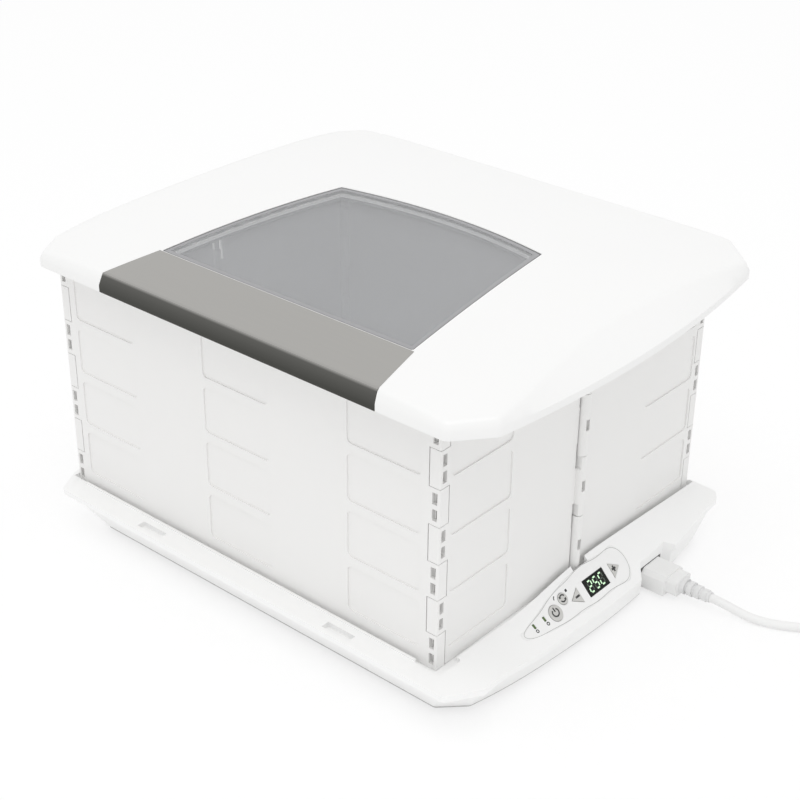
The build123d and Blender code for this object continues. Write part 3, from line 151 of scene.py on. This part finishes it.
# ---------------------------------------------------------------- base and its cover
# The base is one white injection moulding with a fine, even spark grain and faint flow in its
# colour and gloss. A grey cover closes it from below.
BASE_WHITE = (0.960, 0.960, 0.955)
COVER_GREY = (0.55, 0.55, 0.54)
FLOW_SIZE, FLOW_DETAIL = 9.0, 3.0
GRAIN_SIZE, GRAIN_DETAIL, GRAIN_DEPTH = 1500.0, 2.0, 0.00004
ROUGH_SPREAD = 0.12
SHARP_ANGLE, WELD_REACH = radians(32.0), 1e-6


def new_group(name, colours, numbers):
    """An empty shader group with colour and number inputs, and what it is given at them."""
    group = bpy.data.node_groups.new(name, "ShaderNodeTree")
    for kind, keys in (("Color", colours), ("Float", numbers)):
        for key in keys:
            group.interface.new_socket(key, in_out="INPUT", socket_type="NodeSocket" + kind)
    return group, group.nodes.new("NodeGroupInput").outputs


def finish_group(group, colour, roughness, normal):
    """The three outputs of a surface group."""
    out = group.nodes.new("NodeGroupOutput")
    keys, kinds = ("Colour", "Roughness", "Normal"), ("Color", "Float", "Vector")
    for key, kind, socket in zip(keys, kinds, (colour, roughness, normal)):
        group.interface.new_socket(key, in_out="OUTPUT", socket_type="NodeSocket" + kind)
        group.links.new(socket, out.inputs[key])


def place_group(tree, group, values):
    """Puts a surface group into a tree, and feeds its inputs by name."""
    node = tree.nodes.new("ShaderNodeGroup")
    node.node_tree = group
    for key, value in values.items():
        feed(tree, node.inputs[key], value)
    return node.outputs


def noise(group, scale, detail, stretch=(1.0, 1.0, 1.0)):
    """Noise over Object coordinates, stretched along the axes."""
    place = add_node(group, "TexCoord").outputs["Object"]
    stretched = add_node(group, "Mapping", Vector=place, Scale=stretch).outputs[0]
    return add_node(group, "TexNoise", Vector=stretched, Scale=scale, Detail=detail).outputs[0]


def spread(group, value, low, high, start=0.0, end=1.0):
    """Carries start..end over to low..high."""
    limits = {"From_Min": start, "From_Max": end, "To_Min": low, "To_Max": high}
    return add_node(group, "MapRange", Value=value, **limits).outputs[0]


def uneven_surface(group, colour, pattern, darkest, rough, height, strength, depth):
    """Ends a group: a pattern varies colour and roughness, and a height becomes a bump."""
    value = spread(group, pattern, darkest, 1.0)
    shade = add_node(group, "HueSaturation", Color=colour, Value=value)
    uneven = arithmetic(group, "ADD", spread(group, pattern, 0.0, ROUGH_SPREAD), rough)
    bump = add_node(group, "Bump", Strength=strength, Height=height, Distance=depth)
    finish_group(group, shade.outputs[0], uneven, bump.outputs[0])
    return group


def moulded_surface():
    """Moulded plastic: faint flow in colour and gloss, and a fine spark grain as bump."""
    group, given = new_group("moulded_surface", ["Colour"], ["Flow", "Gloss", "Grain"])
    flow, grain = noise(group, FLOW_SIZE, FLOW_DETAIL), noise(group, GRAIN_SIZE, GRAIN_DETAIL)
    darkest = arithmetic(group, "SUBTRACT", 1.0, given["Flow"])
    return uneven_surface(
        group, given["Colour"], flow, darkest, given["Gloss"], grain, given["Grain"], GRAIN_DEPTH
    )


def surfaced(name, group, values, **sockets):
    """Principled material fed by a surface group; extra sockets are set on the shader."""
    material = bpy.data.materials.new(name)
    material.use_nodes = True
    tree = material.node_tree
    shader = tree.nodes["Principled BSDF"]
    surface = place_group(tree, group, values)
    for key, socket in (("Colour", "Base Color"), ("Roughness", "Roughness"), ("Normal", "Normal")):
        tree.links.new(surface[key], shader.inputs[socket])
    for key, value in sockets.items():
        shader.inputs[key.replace("_", " ")].default_value = value
    return material


MOULDED = moulded_surface()


def plastic(name, colour, flow=0.02, gloss=0.35, grain=0.05, **sockets):
    """Moulded plastic or rubber of one colour."""
    values = {"Colour": (*colour, 1.0), "Flow": flow, "Gloss": gloss, "Grain": grain}
    return surfaced(name, MOULDED, values, **sockets)


def dress(material, *names):
    """Gives a finish to CAD nodes and rounds their shading between real edges."""
    for name in names:
        node = nodes[name]
        node.data.materials.clear()
        node.data.materials.append(material)
        node.data.polygons.foreach_set("use_smooth", np.ones(len(node.data.polygons), bool))
        node.modifiers.new("joined", "WELD").merge_threshold = WELD_REACH
        node.modifiers.new("edges", "EDGE_SPLIT").split_angle = SHARP_ANGLE


dress(plastic("base_moulding", BASE_WHITE, gloss=0.3), "base_shell")
dress(plastic("grey_moulding", COVER_GREY, grain=0.2), "bottom_cover", "board_posts")

# ---------------------------------------------------------------- feet
# Four moulded rubber feet, dark and dull. They are let into the cover and carry the proofer
# just clear of the table.
FOOT_BLACK = (0.05, 0.05, 0.05)

dress(plastic("foot_rubber", FOOT_BLACK, gloss=0.7, grain=0.4), "rubber_feet")

# ---------------------------------------------------------------- heater
# A rolled aluminium plate is the floor of the well. A foil element runs to and fro under
# it, on a board of pressed fibre, and a small steel sensor stands on it.
PLATE_GREY, FOIL_GREY, FIBRE = (0.78, 0.78, 0.79), (0.60, 0.58, 0.52), (0.75, 0.72, 0.62)
STEEL_GREY = (0.55, 0.55, 0.56)
STREAK_SIZE, STREAK_DETAIL, STREAK_STRETCH = 1.0, 4.0, (18.0, 1400.0, 1400.0)
STREAK_LOW, STREAK_BUMP, STREAK_DEPTH = 0.85, 0.1, 0.00003


def metal_surface():
    """Drawn or brushed metal: streaks along X in colour, gloss and a shallow bump."""
    group, given = new_group("metal_surface", ["Colour"], ["Low", "Rough", "Streak"])
    streaks = noise(group, STREAK_SIZE, STREAK_DETAIL, STREAK_STRETCH)
    return uneven_surface(
        group, given["Colour"], streaks, given["Low"], given["Rough"], streaks, given["Streak"],
        STREAK_DEPTH,
    )


METAL = metal_surface()


def metal(name, colour, rough=0.3):
    """Bare metal of one colour."""
    values = {"Colour": (*colour, 1.0), "Low": STREAK_LOW, "Rough": rough, "Streak": STREAK_BUMP}
    return surfaced(name, METAL, values, Metallic=1.0)


drawn_steel = metal("drawn_steel", STEEL_GREY)
dress(metal("rolled_aluminium", PLATE_GREY, rough=0.38), "heater_plate")
dress(metal("element_foil", FOIL_GREY, rough=0.4), "heating_element")
dress(plastic("pressed_fibre", FIBRE, flow=0.2, gloss=0.8, grain=0.8), "insulation_board")
dress(drawn_steel, "base_screws", "temperature_sensor")

# ---------------------------------------------------------------- walls and hinge pins
# Two long walls and four leaves, moulded in a thinner, slightly milky white. Steel pins run down
# through their knuckles, coloured near black as painted shade in the deep knuckle windows, and the
# leaves fold inwards about them.
WALL_WHITE, PIN_PAINTED_SHADE = (0.875, 0.871, 0.861), (0.13, 0.12, 0.11)

dress(
    plastic("wall_moulding", WALL_WHITE, gloss=0.38, grain=0.12),
    "front_wall", "back_wall", "right_front_leaf", "right_back_leaf", "left_front_leaf",
    "left_back_leaf",
)
# The pins' near-black colour is painted shade: it darkens the deep windows in the knuckles.
dress(
    metal("pin_steel_painted_shade", PIN_PAINTED_SHADE, rough=0.45),
    "right_front_hinge_pin", "left_front_hinge_pin", "right_back_hinge_pin",
    "left_back_hinge_pin", "right_middle_hinge_pin", "left_middle_hinge_pin",
)

# ---------------------------------------------------------------- tray and rack
# A pressed aluminium water tray stands on the plate. The rack over it is bent from plated
# wire and welded. Both lift straight out once the lid is off.
TRAY_GREY, PLATING = (0.80, 0.80, 0.81), (0.82, 0.82, 0.84)

dress(metal("tray_aluminium", TRAY_GREY, rough=0.25), "water_tray")
dress(metal("plated_wire", PLATING, rough=0.12), "wire_rack")

# ---------------------------------------------------------------- lid
# The lid is a white moulding like the base, with a bowed top. A flat white liner closes it
# from below and is held by small steel screws.
LID_WHITE, LINER_WHITE = (0.905, 0.905, 0.90), (0.88, 0.88, 0.875)

dress(plastic("lid_moulding", LID_WHITE, gloss=0.3), "lid_shell")
dress(plastic("liner_moulding", LINER_WHITE, gloss=0.4, grain=0.15), "lid_liner")
dress(drawn_steel, "lid_screws")

# ---------------------------------------------------------------- window
# Two clear panes with a grey foam ring between them. They are a little smoky where one looks
# through both. A grey border is printed on the outer pane, and the thin dark rim round it is
# painted shade of the gap between pane and lid.
PANE_TINT, OUTER_ALPHA, INNER_ALPHA = (0.74, 0.75, 0.77), 0.22, 0.12
FOAM_GREY, BORDER_GREY, RIM_PAINTED_SHADE = (0.30, 0.30, 0.30), (0.33, 0.33, 0.34), (0.07, 0.07, 0.07)
CROWN_Z, CROWN_R, PANE_SINK = 0.2655, 1.410, 0.0005
WINDOW_X, WINDOW_FRONT, WINDOW_BACK, WINDOW_BOW = 0.006, -0.133, 0.038, 0.012
FRONT_HALF, BACK_HALF, SIDE_BOW = 0.121, 0.099, 0.001
BORDER_W, RIM_W, PRINT_LIFT = 0.0042, 0.0008, 0.00005
EDGE_STEPS = 32


def bowed_edge(start, end, bow):
    """Points of one edge of the window: a straight run pushed out by a parabola."""
    share = np.linspace(0, 1, EDGE_STEPS, endpoint=False)[:, None]
    start, end = np.array(start), np.array(end)
    out = np.array([end[1] - start[1], start[0] - end[0]]) / np.linalg.norm(end - start)
    return start + share * (end - start) + 4 * share * (1 - share) * bow * out


def window_outline(inset):
    """Closed outline of the outer pane, drawn in by an inset: four edges, three of them bowed."""
    front, back = WINDOW_FRONT + inset, WINDOW_BACK - inset
    near, far = FRONT_HALF - inset, BACK_HALF - inset
    corners = [(-near, front), (near, front), (far, back), (-far, back)]
    bows = (0.0, SIDE_BOW, WINDOW_BOW, SIDE_BOW)
    edges = [bowed_edge(*ends, bow) for *ends, bow in zip(corners, corners[1:] + corners[:1], bows)]
    return np.concatenate(edges) + (WINDOW_X, 0.0)


def printed_band(name, outer, inner, material):
    """Flat band between two outlines, laid on the crown of the pane: one wide arc along Y."""
    plan = np.stack([window_outline(outer), window_outline(inner)], axis=1)
    z = CROWN_Z - CROWN_R + np.sqrt(CROWN_R**2 - plan[..., 1] ** 2) - PANE_SINK + PRINT_LIFT
    count = len(plan)
    here, after = 2 * np.arange(count), 2 * ((np.arange(count) + 1) % count)
    faces = np.stack([here, after, after + 1, here + 1], axis=1)
    mesh = bpy.data.meshes.new(name)
    mesh.from_pydata(np.dstack([plan, z]).reshape(-1, 3), [], faces.tolist())
    mesh.materials.append(material)
    band = add_object(name, mesh)
    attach(band, "lid")


for side, alpha in (("outer", OUTER_ALPHA), ("inner", INNER_ALPHA)):
    pane = plastic(side + "_pane", PANE_TINT, flow=0.01, gloss=0.04, grain=0.0, Alpha=alpha)
    dress(pane, "window_" + side)
dress(plastic("foam_ring", FOAM_GREY, gloss=0.8, grain=0.4), "window_spacer")
border_ink = plastic("border_ink", BORDER_GREY, gloss=0.3, grain=0.0)
printed_band("window_border", RIM_W, BORDER_W, border_ink)
# The dark rim is painted shade: it stands in for the shadow in the narrow gap between the pane and
# the lid.
gap_painted_shade = plastic("gap_painted_shade", RIM_PAINTED_SHADE, gloss=0.5, grain=0.0)
printed_band("window_gap_painted_shade", 0.0, RIM_W, gap_painted_shade)

# ---------------------------------------------------------------- metal strip
# Brushed stainless strip over the front of the lid. Its top is light. Below the crease, where it
# bends down over the front edge, its colour is painted dark, darkest at its foot: a painted
# reflection of dark surroundings.
# The dark front colour is a painted reflection: it stands in for dark surroundings mirrored in the
# bent front.
STRIP_TOP, STRIP_PAINTED_REFLECTION = (0.43, 0.422, 0.405), (0.070, 0.070, 0.064)
STRIP_FOOT, CREASE_LOW, CREASE_HIGH = 0.2420, 0.2520, 0.2542
ROLL_SHARE = 0.15


def folded_painted_reflection():
    """Metal surface that goes from a painted dark reflection at the foot of the strip to its own
    colour on top.

    The share of the top colour rises slowly up to the crease and the rest of the way in it.
    """
    group, given = new_group("folded_painted_reflection", ["Colour", "Painted_reflection"], ["Low", "Rough", "Streak"])
    place = add_node(group, "TexCoord").outputs["Object"]
    height = add_node(group, "SeparateXYZ", place).outputs["Z"]
    roll = spread(group, height, 0.0, ROLL_SHARE, STRIP_FOOT, CREASE_LOW)
    above = spread(group, height, 0.0, 1.0 - ROLL_SHARE, CREASE_LOW, CREASE_HIGH)
    mix = add_node(group, "Mix", arithmetic(group, "ADD", roll, above))
    mix.data_type = "RGBA"
    first, second = (socket for socket in mix.inputs if socket.type == "RGBA")
    group.links.new(given["Painted_reflection"], first)
    group.links.new(given["Colour"], second)
    mixed = next(socket for socket in mix.outputs if socket.type == "RGBA")
    metal_values = {key: given[key] for key in ("Low", "Rough", "Streak")}
    inner = place_group(group, METAL, {"Colour": mixed, **metal_values})
    finish_group(group, inner["Colour"], inner["Roughness"], inner["Normal"])
    return group


# The second colour is painted dark reflection on the bent front of the strip.
strip_values = {
    "Colour": (*STRIP_TOP, 1.0), "Painted_reflection": (*STRIP_PAINTED_REFLECTION, 1.0), "Low": 0.9, "Rough": 0.32,
    "Streak": 0.15,
}
dress(surfaced("strip_steel", folded_painted_reflection(), strip_values, Metallic=1.0), "front_strip")

# ---------------------------------------------------------------- control panel
# A leaf-shaped panel lies in the sloping side of the base. A grey line is printed round it,
# with four small signs beside the lights and the buttons.
PANEL_WHITE, LINE_GREY = (0.93, 0.93, 0.925), (0.52, 0.52, 0.51)
INK_GREY = (0.035, 0.035, 0.035)
SLOPE = radians(44.0)
SIDE_X, RIM_X = 0.176, 0.207
FLANGE_Z, RIM_Z, RIM_LOW = 0.042, 0.0205, (-0.045, 0.050)
RIM_REACH = (0.120, 0.125)
BUMP_RISE, BUMP_Y, BUMP_REACH = 0.0115, 0.012, (0.105, 0.190)
INK_LIFT, INK_SUNK, TOP_BAND = 0.00006, 0.00020, 0.00025
PANEL_DEGREE, KEY_DEGREE = 6, 2
PANEL_ARCS = (
    ((0.1923, -0.0810), (0.1838, -0.0280), (0.1850, 0.0300)),
    ((0.1850, 0.0300), (0.1935, 0.0458), (0.2030, 0.0300)),
    ((0.2030, 0.0300), (0.2025, -0.0270), (0.1974, -0.0835)),
    ((0.1974, -0.0835), (0.1952, -0.0860), (0.1923, -0.0810)),
)
ARC_STEPS, LINE_STEPS, LINE_WAVES = 24, 160, 7
LINE_IN, LINE_W = 0.0008, 0.00045
SIGN_W, DOT_W = 0.0008, 0.0020
TICK_AT, TICK_PATH = (0.1873, -0.0386), ((-0.0010, -0.0008), (0, 0.0012), (0.0010, 0.0014))
DOT_AT, DOT_PATH = (0.1880, -0.0252), ((-0.0010, 0), (0.0010, 0))
RINGS_AT, RING_R = ((0.1958, -0.0697), (0.1958, -0.0567)), 0.0012


def wave(share):
    """Smooth step from 0 to 1: half a cosine wave."""
    return (1 - np.cos(pi * np.clip(share, 0, 1))) / 2


def control_side(x, y):
    """Height of the sloping side: straight along X from its inner edge to its rim.

    Along Y, the inner edge rises to a bump by half a cosine wave on each side, and the rim
    rises by another towards both ends.
    """
    reach = np.where(y < BUMP_Y, *BUMP_REACH)
    inner = FLANGE_Z + BUMP_RISE * (1 - wave(np.abs(y - BUMP_Y) / reach))
    fall = wave((RIM_LOW[0] - y) / RIM_REACH[0]) + wave((y - RIM_LOW[1]) / RIM_REACH[1])
    rim = RIM_Z + (FLANGE_Z - RIM_Z) * fall
    return inner + (x - SIDE_X) / (RIM_X - SIDE_X) * (rim - inner)


def standing_out(name, degree):
    """How far the top of a CAD node stands out of that surface, as a polynomial of Y."""
    mesh = nodes[name].data
    places = np.empty(3 * len(mesh.vertices))
    mesh.vertices.foreach_get("co", places)
    x, y, z = places.reshape(-1, 3).T
    out = z - control_side(x, y)
    top = out > out.max() - TOP_BAND
    return np.polynomial.Polynomial.fit(y[top], out[top], degree)


def line_piece(name, body, material, at, lines, top):
    """Flat lines on the control side, as one mesh; top says how far the ground stands out.

    Each line is a path and its width, or one width for each of its points. A path runs in the
    reading frame of the controls: u along the side, v up the slope. The ribbon's two edges lie
    half a width to each side of the path, and each is doubled, one edge just above the surface
    and one just below it.
    """
    places, faces, count = [], [], 0
    for path, width in lines:
        path = np.asarray(path, float)
        ahead = np.gradient(path, axis=0)
        if np.allclose(path[0], path[-1]):
            ahead[[0, -1]] = ahead[0] + ahead[-1]
        ahead /= np.linalg.norm(ahead, axis=1, keepdims=True)
        half = np.stack([-ahead[:, 1], ahead[:, 0]], 1) * (np.asarray(width) / 2).reshape(-1, 1)
        ring = np.stack([path + half, path - half, path - half, path + half], axis=1)
        x, y = at[0] - ring[..., 1] * cos(SLOPE), at[1] + ring[..., 0]
        z = control_side(x, y) + top(y) + np.array([INK_LIFT, INK_LIFT, -INK_SUNK, -INK_SUNK])
        places.append(np.stack([x, y, z], axis=-1).reshape(-1, 3))
        row, corner = np.meshgrid(np.arange(len(path) - 1), np.arange(4), indexing="ij")
        start, after = count + 4 * row + corner, count + 4 * row + (corner + 1) % 4
        faces += np.stack([start, after, after + 4, start + 4], axis=-1).reshape(-1, 4).tolist()
        last = count + 4 * (len(path) - 1)
        faces += [[count + 3, count + 2, count + 1, count], [last, last + 1, last + 2, last + 3]]
        count += 4 * len(path)
    mesh = bpy.data.meshes.new(name)
    mesh.from_pydata(np.concatenate(places), [], faces)
    mesh.materials.append(material)
    piece = add_object(name, mesh)
    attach(piece, body)
    return piece


def arc_through(start, middle, end):
    """Points of the arc through three places, worked out in the complex plane."""
    a, b, c = (complex(*p) for p in (start, middle, end))
    w = (c - a) / (b - a)
    centre = (b - a) * (w - abs(w) ** 2) / (2j * w.imag) + a
    turn = np.angle((c - centre) / (a - centre))
    inner = np.angle((b - centre) / (a - centre))
    turn += 2 * pi * np.sign(inner) * (np.sign(turn) != np.sign(inner))
    points = centre + (a - centre) * np.exp(1j * turn * np.linspace(0, 1, ARC_STEPS + 1))
    return np.stack([points.real, points.imag], axis=1)


def arc(radius, start, end):
    """Points on a circle round the middle, from one angle in degrees to another."""
    angle = np.radians(np.linspace(start, end, ARC_STEPS + 1))
    return radius * np.stack([np.cos(angle), np.sin(angle)], axis=1)


panel_film = plastic("panel_film", PANEL_WHITE, gloss=0.25, grain=0.02)
dark_ink = plastic("dark_ink", INK_GREY, gloss=0.5, grain=0.0)
line_ink = plastic("line_ink", LINE_GREY, gloss=0.5, grain=0.0)
dress(panel_film, "control_panel")

# The edge of the panel in the reading frame, u + iv, in even steps. Only its long waves are
# kept, which rounds it, and each point then moves in towards the middle.
panel_top = standing_out("control_panel", PANEL_DEGREE)
edge = np.concatenate([arc_through(*three) for three in PANEL_ARCS])
edge = edge[:, 1] - 1j * edge[:, 0] / cos(SLOPE)
way = np.concatenate([[0], np.cumsum(np.abs(np.diff(edge)))])
waves = np.fft.fft(np.interp(np.linspace(0, way[-1], LINE_STEPS, endpoint=False), way, edge))
waves[LINE_WAVES + 1 : -LINE_WAVES] = 0
smooth = np.fft.ifft(waves)
middle = smooth.mean()
smooth = middle + (smooth - middle) * (1 - LINE_IN / np.abs(smooth - middle))
leaf = np.stack([smooth.real, smooth.imag], axis=1)
leaf_line = line_piece(
    "panel_line", "base", line_ink, (0.0, 0.0), [(np.vstack([leaf, leaf[:1]]), LINE_W)], panel_top
)

small_signs = [(TICK_AT, (TICK_PATH, SIGN_W)), (DOT_AT, (DOT_PATH, DOT_W))]
small_signs += [(at, (arc(RING_R, 0, 360), SIGN_W)) for at in RINGS_AT]
for number, (at, line) in enumerate(small_signs):
    sign = line_piece(f"small_sign_{number}", "base", dark_ink, at, [line], panel_top)

# ---------------------------------------------------------------- buttons
# Four light grey keys stand a little out of the panel: a round power key, a smaller round
# mode key, and two triangles for less and more. Their signs are printed on them.
KEY_GREY = (0.62, 0.615, 0.595)
POWER_AT, MODE_AT = (0.1938, -0.0450), (0.1903, -0.0320)
LESS_AT, MORE_AT = (0.1948, -0.0187), (0.1948, 0.0283)
POWER_R, POWER_SPAN, POWER_W = 0.0031, (125, 415), 0.0012
POWER_BAR = ((0, 0.0006), (0, 0.0043))
LOOP_R, LOOP_STARTS, LOOP_SWEEP, LOOP_W = 0.0026, (20.0, 200.0), 115, 0.0011
ARROW_LONG, ARROW_W, ARROW_TIP_W = 0.0016, 0.0028, 0.00008
BAR_HALF, BAR_W = 0.0023, 0.0016


def loop_sign():
    """Two arrows that chase each other round a circle."""
    lines = []
    for start in LOOP_STARTS:
        bow = arc(LOOP_R, start, start + LOOP_SWEEP)
        onward = np.array([-bow[-1][1], bow[-1][0]]) / LOOP_R
        head = [bow[-1], bow[-1] + ARROW_LONG * onward]
        lines += [(bow, LOOP_W), (head, (ARROW_W, ARROW_TIP_W))]
    return lines


dress(
    plastic("key_plastic", KEY_GREY, gloss=0.4, grain=0.15),
    "power_button", "mode_button", "minus_button", "plus_button",
)
power_lines = [(arc(POWER_R, *POWER_SPAN), POWER_W), (POWER_BAR, POWER_W)]
less_lines = [([(-BAR_HALF, 0), (BAR_HALF, 0)], BAR_W)]
more_lines = less_lines + [([(0, -BAR_HALF), (0, BAR_HALF)], BAR_W)]
for key, at, lines in (
    ("power", POWER_AT, power_lines), ("mode", MODE_AT, loop_sign()),
    ("minus", LESS_AT, less_lines), ("plus", MORE_AT, more_lines),
):
    top = standing_out(key + "_button", KEY_DEGREE)
    sign = line_piece(key + "_sign", key + "_button", dark_ink, at, lines, top)

# ---------------------------------------------------------------- display
# A black window that shows three seven-segment figures. Lit segments are pale green and
# the others only just show.
DISPLAY_BLACK, DISPLAY_SHINE = (0.012, 0.014, 0.012), 0.15
LIT_GREEN, LIT_GLOW, DIM_GREEN = (0.62, 0.90, 0.60), 0.35, (0.06, 0.08, 0.06)
DISPLAY_AT, DISPLAY_DEGREE = (0.1948, 0.0051), 2
FIGURE_W, FIGURE_H, FIGURE_PITCH, FIGURE_LEAN = 0.0042, 0.0082, 0.0069, 0.08
SEGMENT_W, SEGMENT_GAP = 0.00110, 0.00015
SEGMENTS = {
    "a": ((-1, 1), (1, 1)), "b": ((1, 1), (1, 0)), "c": ((1, 0), (1, -1)), "d": ((-1, -1), (1, -1)),
    "e": ((-1, 0), (-1, -1)), "f": ((-1, 1), (-1, 0)), "g": ((-1, 0), (1, 0)),
}
FIGURES = ("abged", "afgcd", "afed")


def segment(column, letter):
    """One bar of a figure, a little short of its neighbours and leaning with the figure."""
    ends = np.array(SEGMENTS[letter], float) * (FIGURE_W / 2, FIGURE_H / 2)
    along = (ends[1] - ends[0]) / np.linalg.norm(ends[1] - ends[0])
    ends += np.array([along, -along]) * (SEGMENT_W / 2 + SEGMENT_GAP)
    ends[:, 0] += ends[:, 1] * FIGURE_LEAN + (column - 1) * FIGURE_PITCH
    return ends, SEGMENT_W


display_black = plastic(
    "display_black", DISPLAY_BLACK, gloss=0.12, grain=0.0, Specular_IOR_Level=DISPLAY_SHINE
)
dress(display_black, "display_lens")
display_top = standing_out("display_lens", DISPLAY_DEGREE)
lit = plastic(
    "lit_segment", LIT_GREEN, gloss=0.5, grain=0.0, Emission_Color=(*LIT_GREEN, 1.0),
    Emission_Strength=LIT_GLOW,
)
dim = plastic("dim_segment", DIM_GREEN, gloss=0.3, grain=0.0)
for name, material, wanted in (("lit_segments", lit, True), ("dim_segments", dim, False)):
    bars = [
        segment(column, letter) for column, figure in enumerate(FIGURES) for letter in SEGMENTS
        if (letter in figure) == wanted
    ]
    line_piece(name, "base", material, DISPLAY_AT, bars, display_top)

# ---------------------------------------------------------------- lights and boards
# Two small green lights beside the power key. Behind the panel are green boards with black
# key switches and the display's housing.
LIGHT_GREEN, BOARD_GREEN = (0.10, 0.16, 0.05), (0.05, 0.20, 0.09)
HOUSING_BLACK = (0.03, 0.03, 0.03)

dress(plastic("light_green", LIGHT_GREEN, gloss=0.2, grain=0.0), "indicator_lights")
dress(plastic("board_green", BOARD_GREEN), "power_board", "control_board")
black_moulding = plastic("black_moulding", HOUSING_BLACK, gloss=0.4)
dress(black_moulding, "button_switches", "display_module")

# ---------------------------------------------------------------- mains inlet and connector
# A black inlet with three plated blades sits in the notch of the base. The white connector
# of the mains lead is pushed into it, with a ribbed strain relief behind.
BRASS, CORD_WHITE, RELIEF_WHITE = (0.72, 0.66, 0.50), (0.885, 0.885, 0.88), (0.80, 0.80, 0.80)

dress(black_moulding, "mains_inlet")
plated_brass = metal("plated_brass", BRASS, rough=0.2)
dress(plated_brass, "inlet_contacts")
cord_rubber = plastic("cord_rubber", CORD_WHITE, gloss=0.42, grain=0.1)
dress(cord_rubber, "appliance_connector")
dress(plastic("relief_rubber", RELIEF_WHITE, gloss=0.5, grain=0.1), "strain_relief")

# ---------------------------------------------------------------- mains lead
# A round white lead. It leaves its strain relief, drops to the table, runs to the side and
# is put away as a coil, three turns wide and two high, that ends in the plug.
CORD_D, CORD_LENGTH = 0.007, 1.46
CORD_ROUND, CORD_SMOOTH = 5, 6
CORD_ROUTE = (
    (0.2478, 0.0730, 0.0118),
    (0.2638, 0.0730, 0.0118),
    (0.2890, 0.0795, 0.0035),
    (0.3125, 0.0885, 0.0035),
    (0.3370, 0.1060, 0.0035),
    (0.3640, 0.1205, 0.0035),
)
COIL_AT, COIL_R, COIL_PITCH = (0.404, 0.079), 0.039, 0.0072
COIL_ENTRY, COIL_END = 110.0, 1910.0
COIL_STEP_IN = ((320.0, 360.0), (680.0, 720.0))
COIL_STEP_OUT = ((1300.0, 1340.0), (1660.0, 1700.0))
COIL_RISE = (990.0, 1040.0)
COIL_TURN_POINTS = 15
PLUG_LEAD = ((0.4502, 0.0640, 0.0105), (0.4500, 0.0540, 0.0105), (0.4500, 0.0445, 0.0105))


def passed(angle, span):
    """Smooth step from 0 to 1 while the angle goes through a span."""
    return wave((angle - span[0]) / (span[1] - span[0]))


def coil_points():
    """Turns of the coil: round in plan, stepping in, up a layer, and out again."""
    angle = np.arange(0, COIL_END, 360 / COIL_TURN_POINTS)
    inward = sum(passed(angle, span) for span in COIL_STEP_IN)
    outward = sum(passed(angle, span) for span in COIL_STEP_OUT)
    radius = COIL_R + COIL_PITCH * (1 - inward + outward)
    height = CORD_D / 2 + CORD_D * passed(angle, COIL_RISE)
    theta = np.radians(COIL_ENTRY - angle)
    x, y = COIL_AT[0] + radius * np.cos(theta), COIL_AT[1] + radius * np.sin(theta)
    return np.stack([x, y, height], axis=1)


def cord_curve(name, points, diameter):
    """Round cord along one open spline."""
    data = bpy.data.curves.new(name, "CURVE")
    data.dimensions, data.bevel_depth, data.bevel_resolution = "3D", diameter / 2, CORD_ROUND
    data.resolution_u, data.use_fill_caps = CORD_SMOOTH, True
    spline = data.splines.new("NURBS")
    spline.points.add(len(points) - 1)
    spline.points.foreach_set("co", np.c_[points, np.ones(len(points))].ravel())
    spline.use_endpoint_u, spline.order_u = True, 3
    return add_object(name, data)


lead = cord_curve("mains_lead", np.vstack([CORD_ROUTE, coil_points(), PLUG_LEAD]), CORD_D)
lead.data.materials.append(cord_rubber)
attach(lead, "base")
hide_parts("cord", "cord_coil")

# ---------------------------------------------------------------- tie and plug
# A dark rubber tie holds the coil together. The plug is moulded onto the lead in the same
# rubber and ends in two flat blades and a round pin of plated brass.
TIE_BLACK = (0.08, 0.08, 0.08)

dress(plastic("tie_rubber", TIE_BLACK, gloss=0.6), "cord_tie")
dress(cord_rubber, "mains_plug")
dress(plated_brass, "plug_blades")
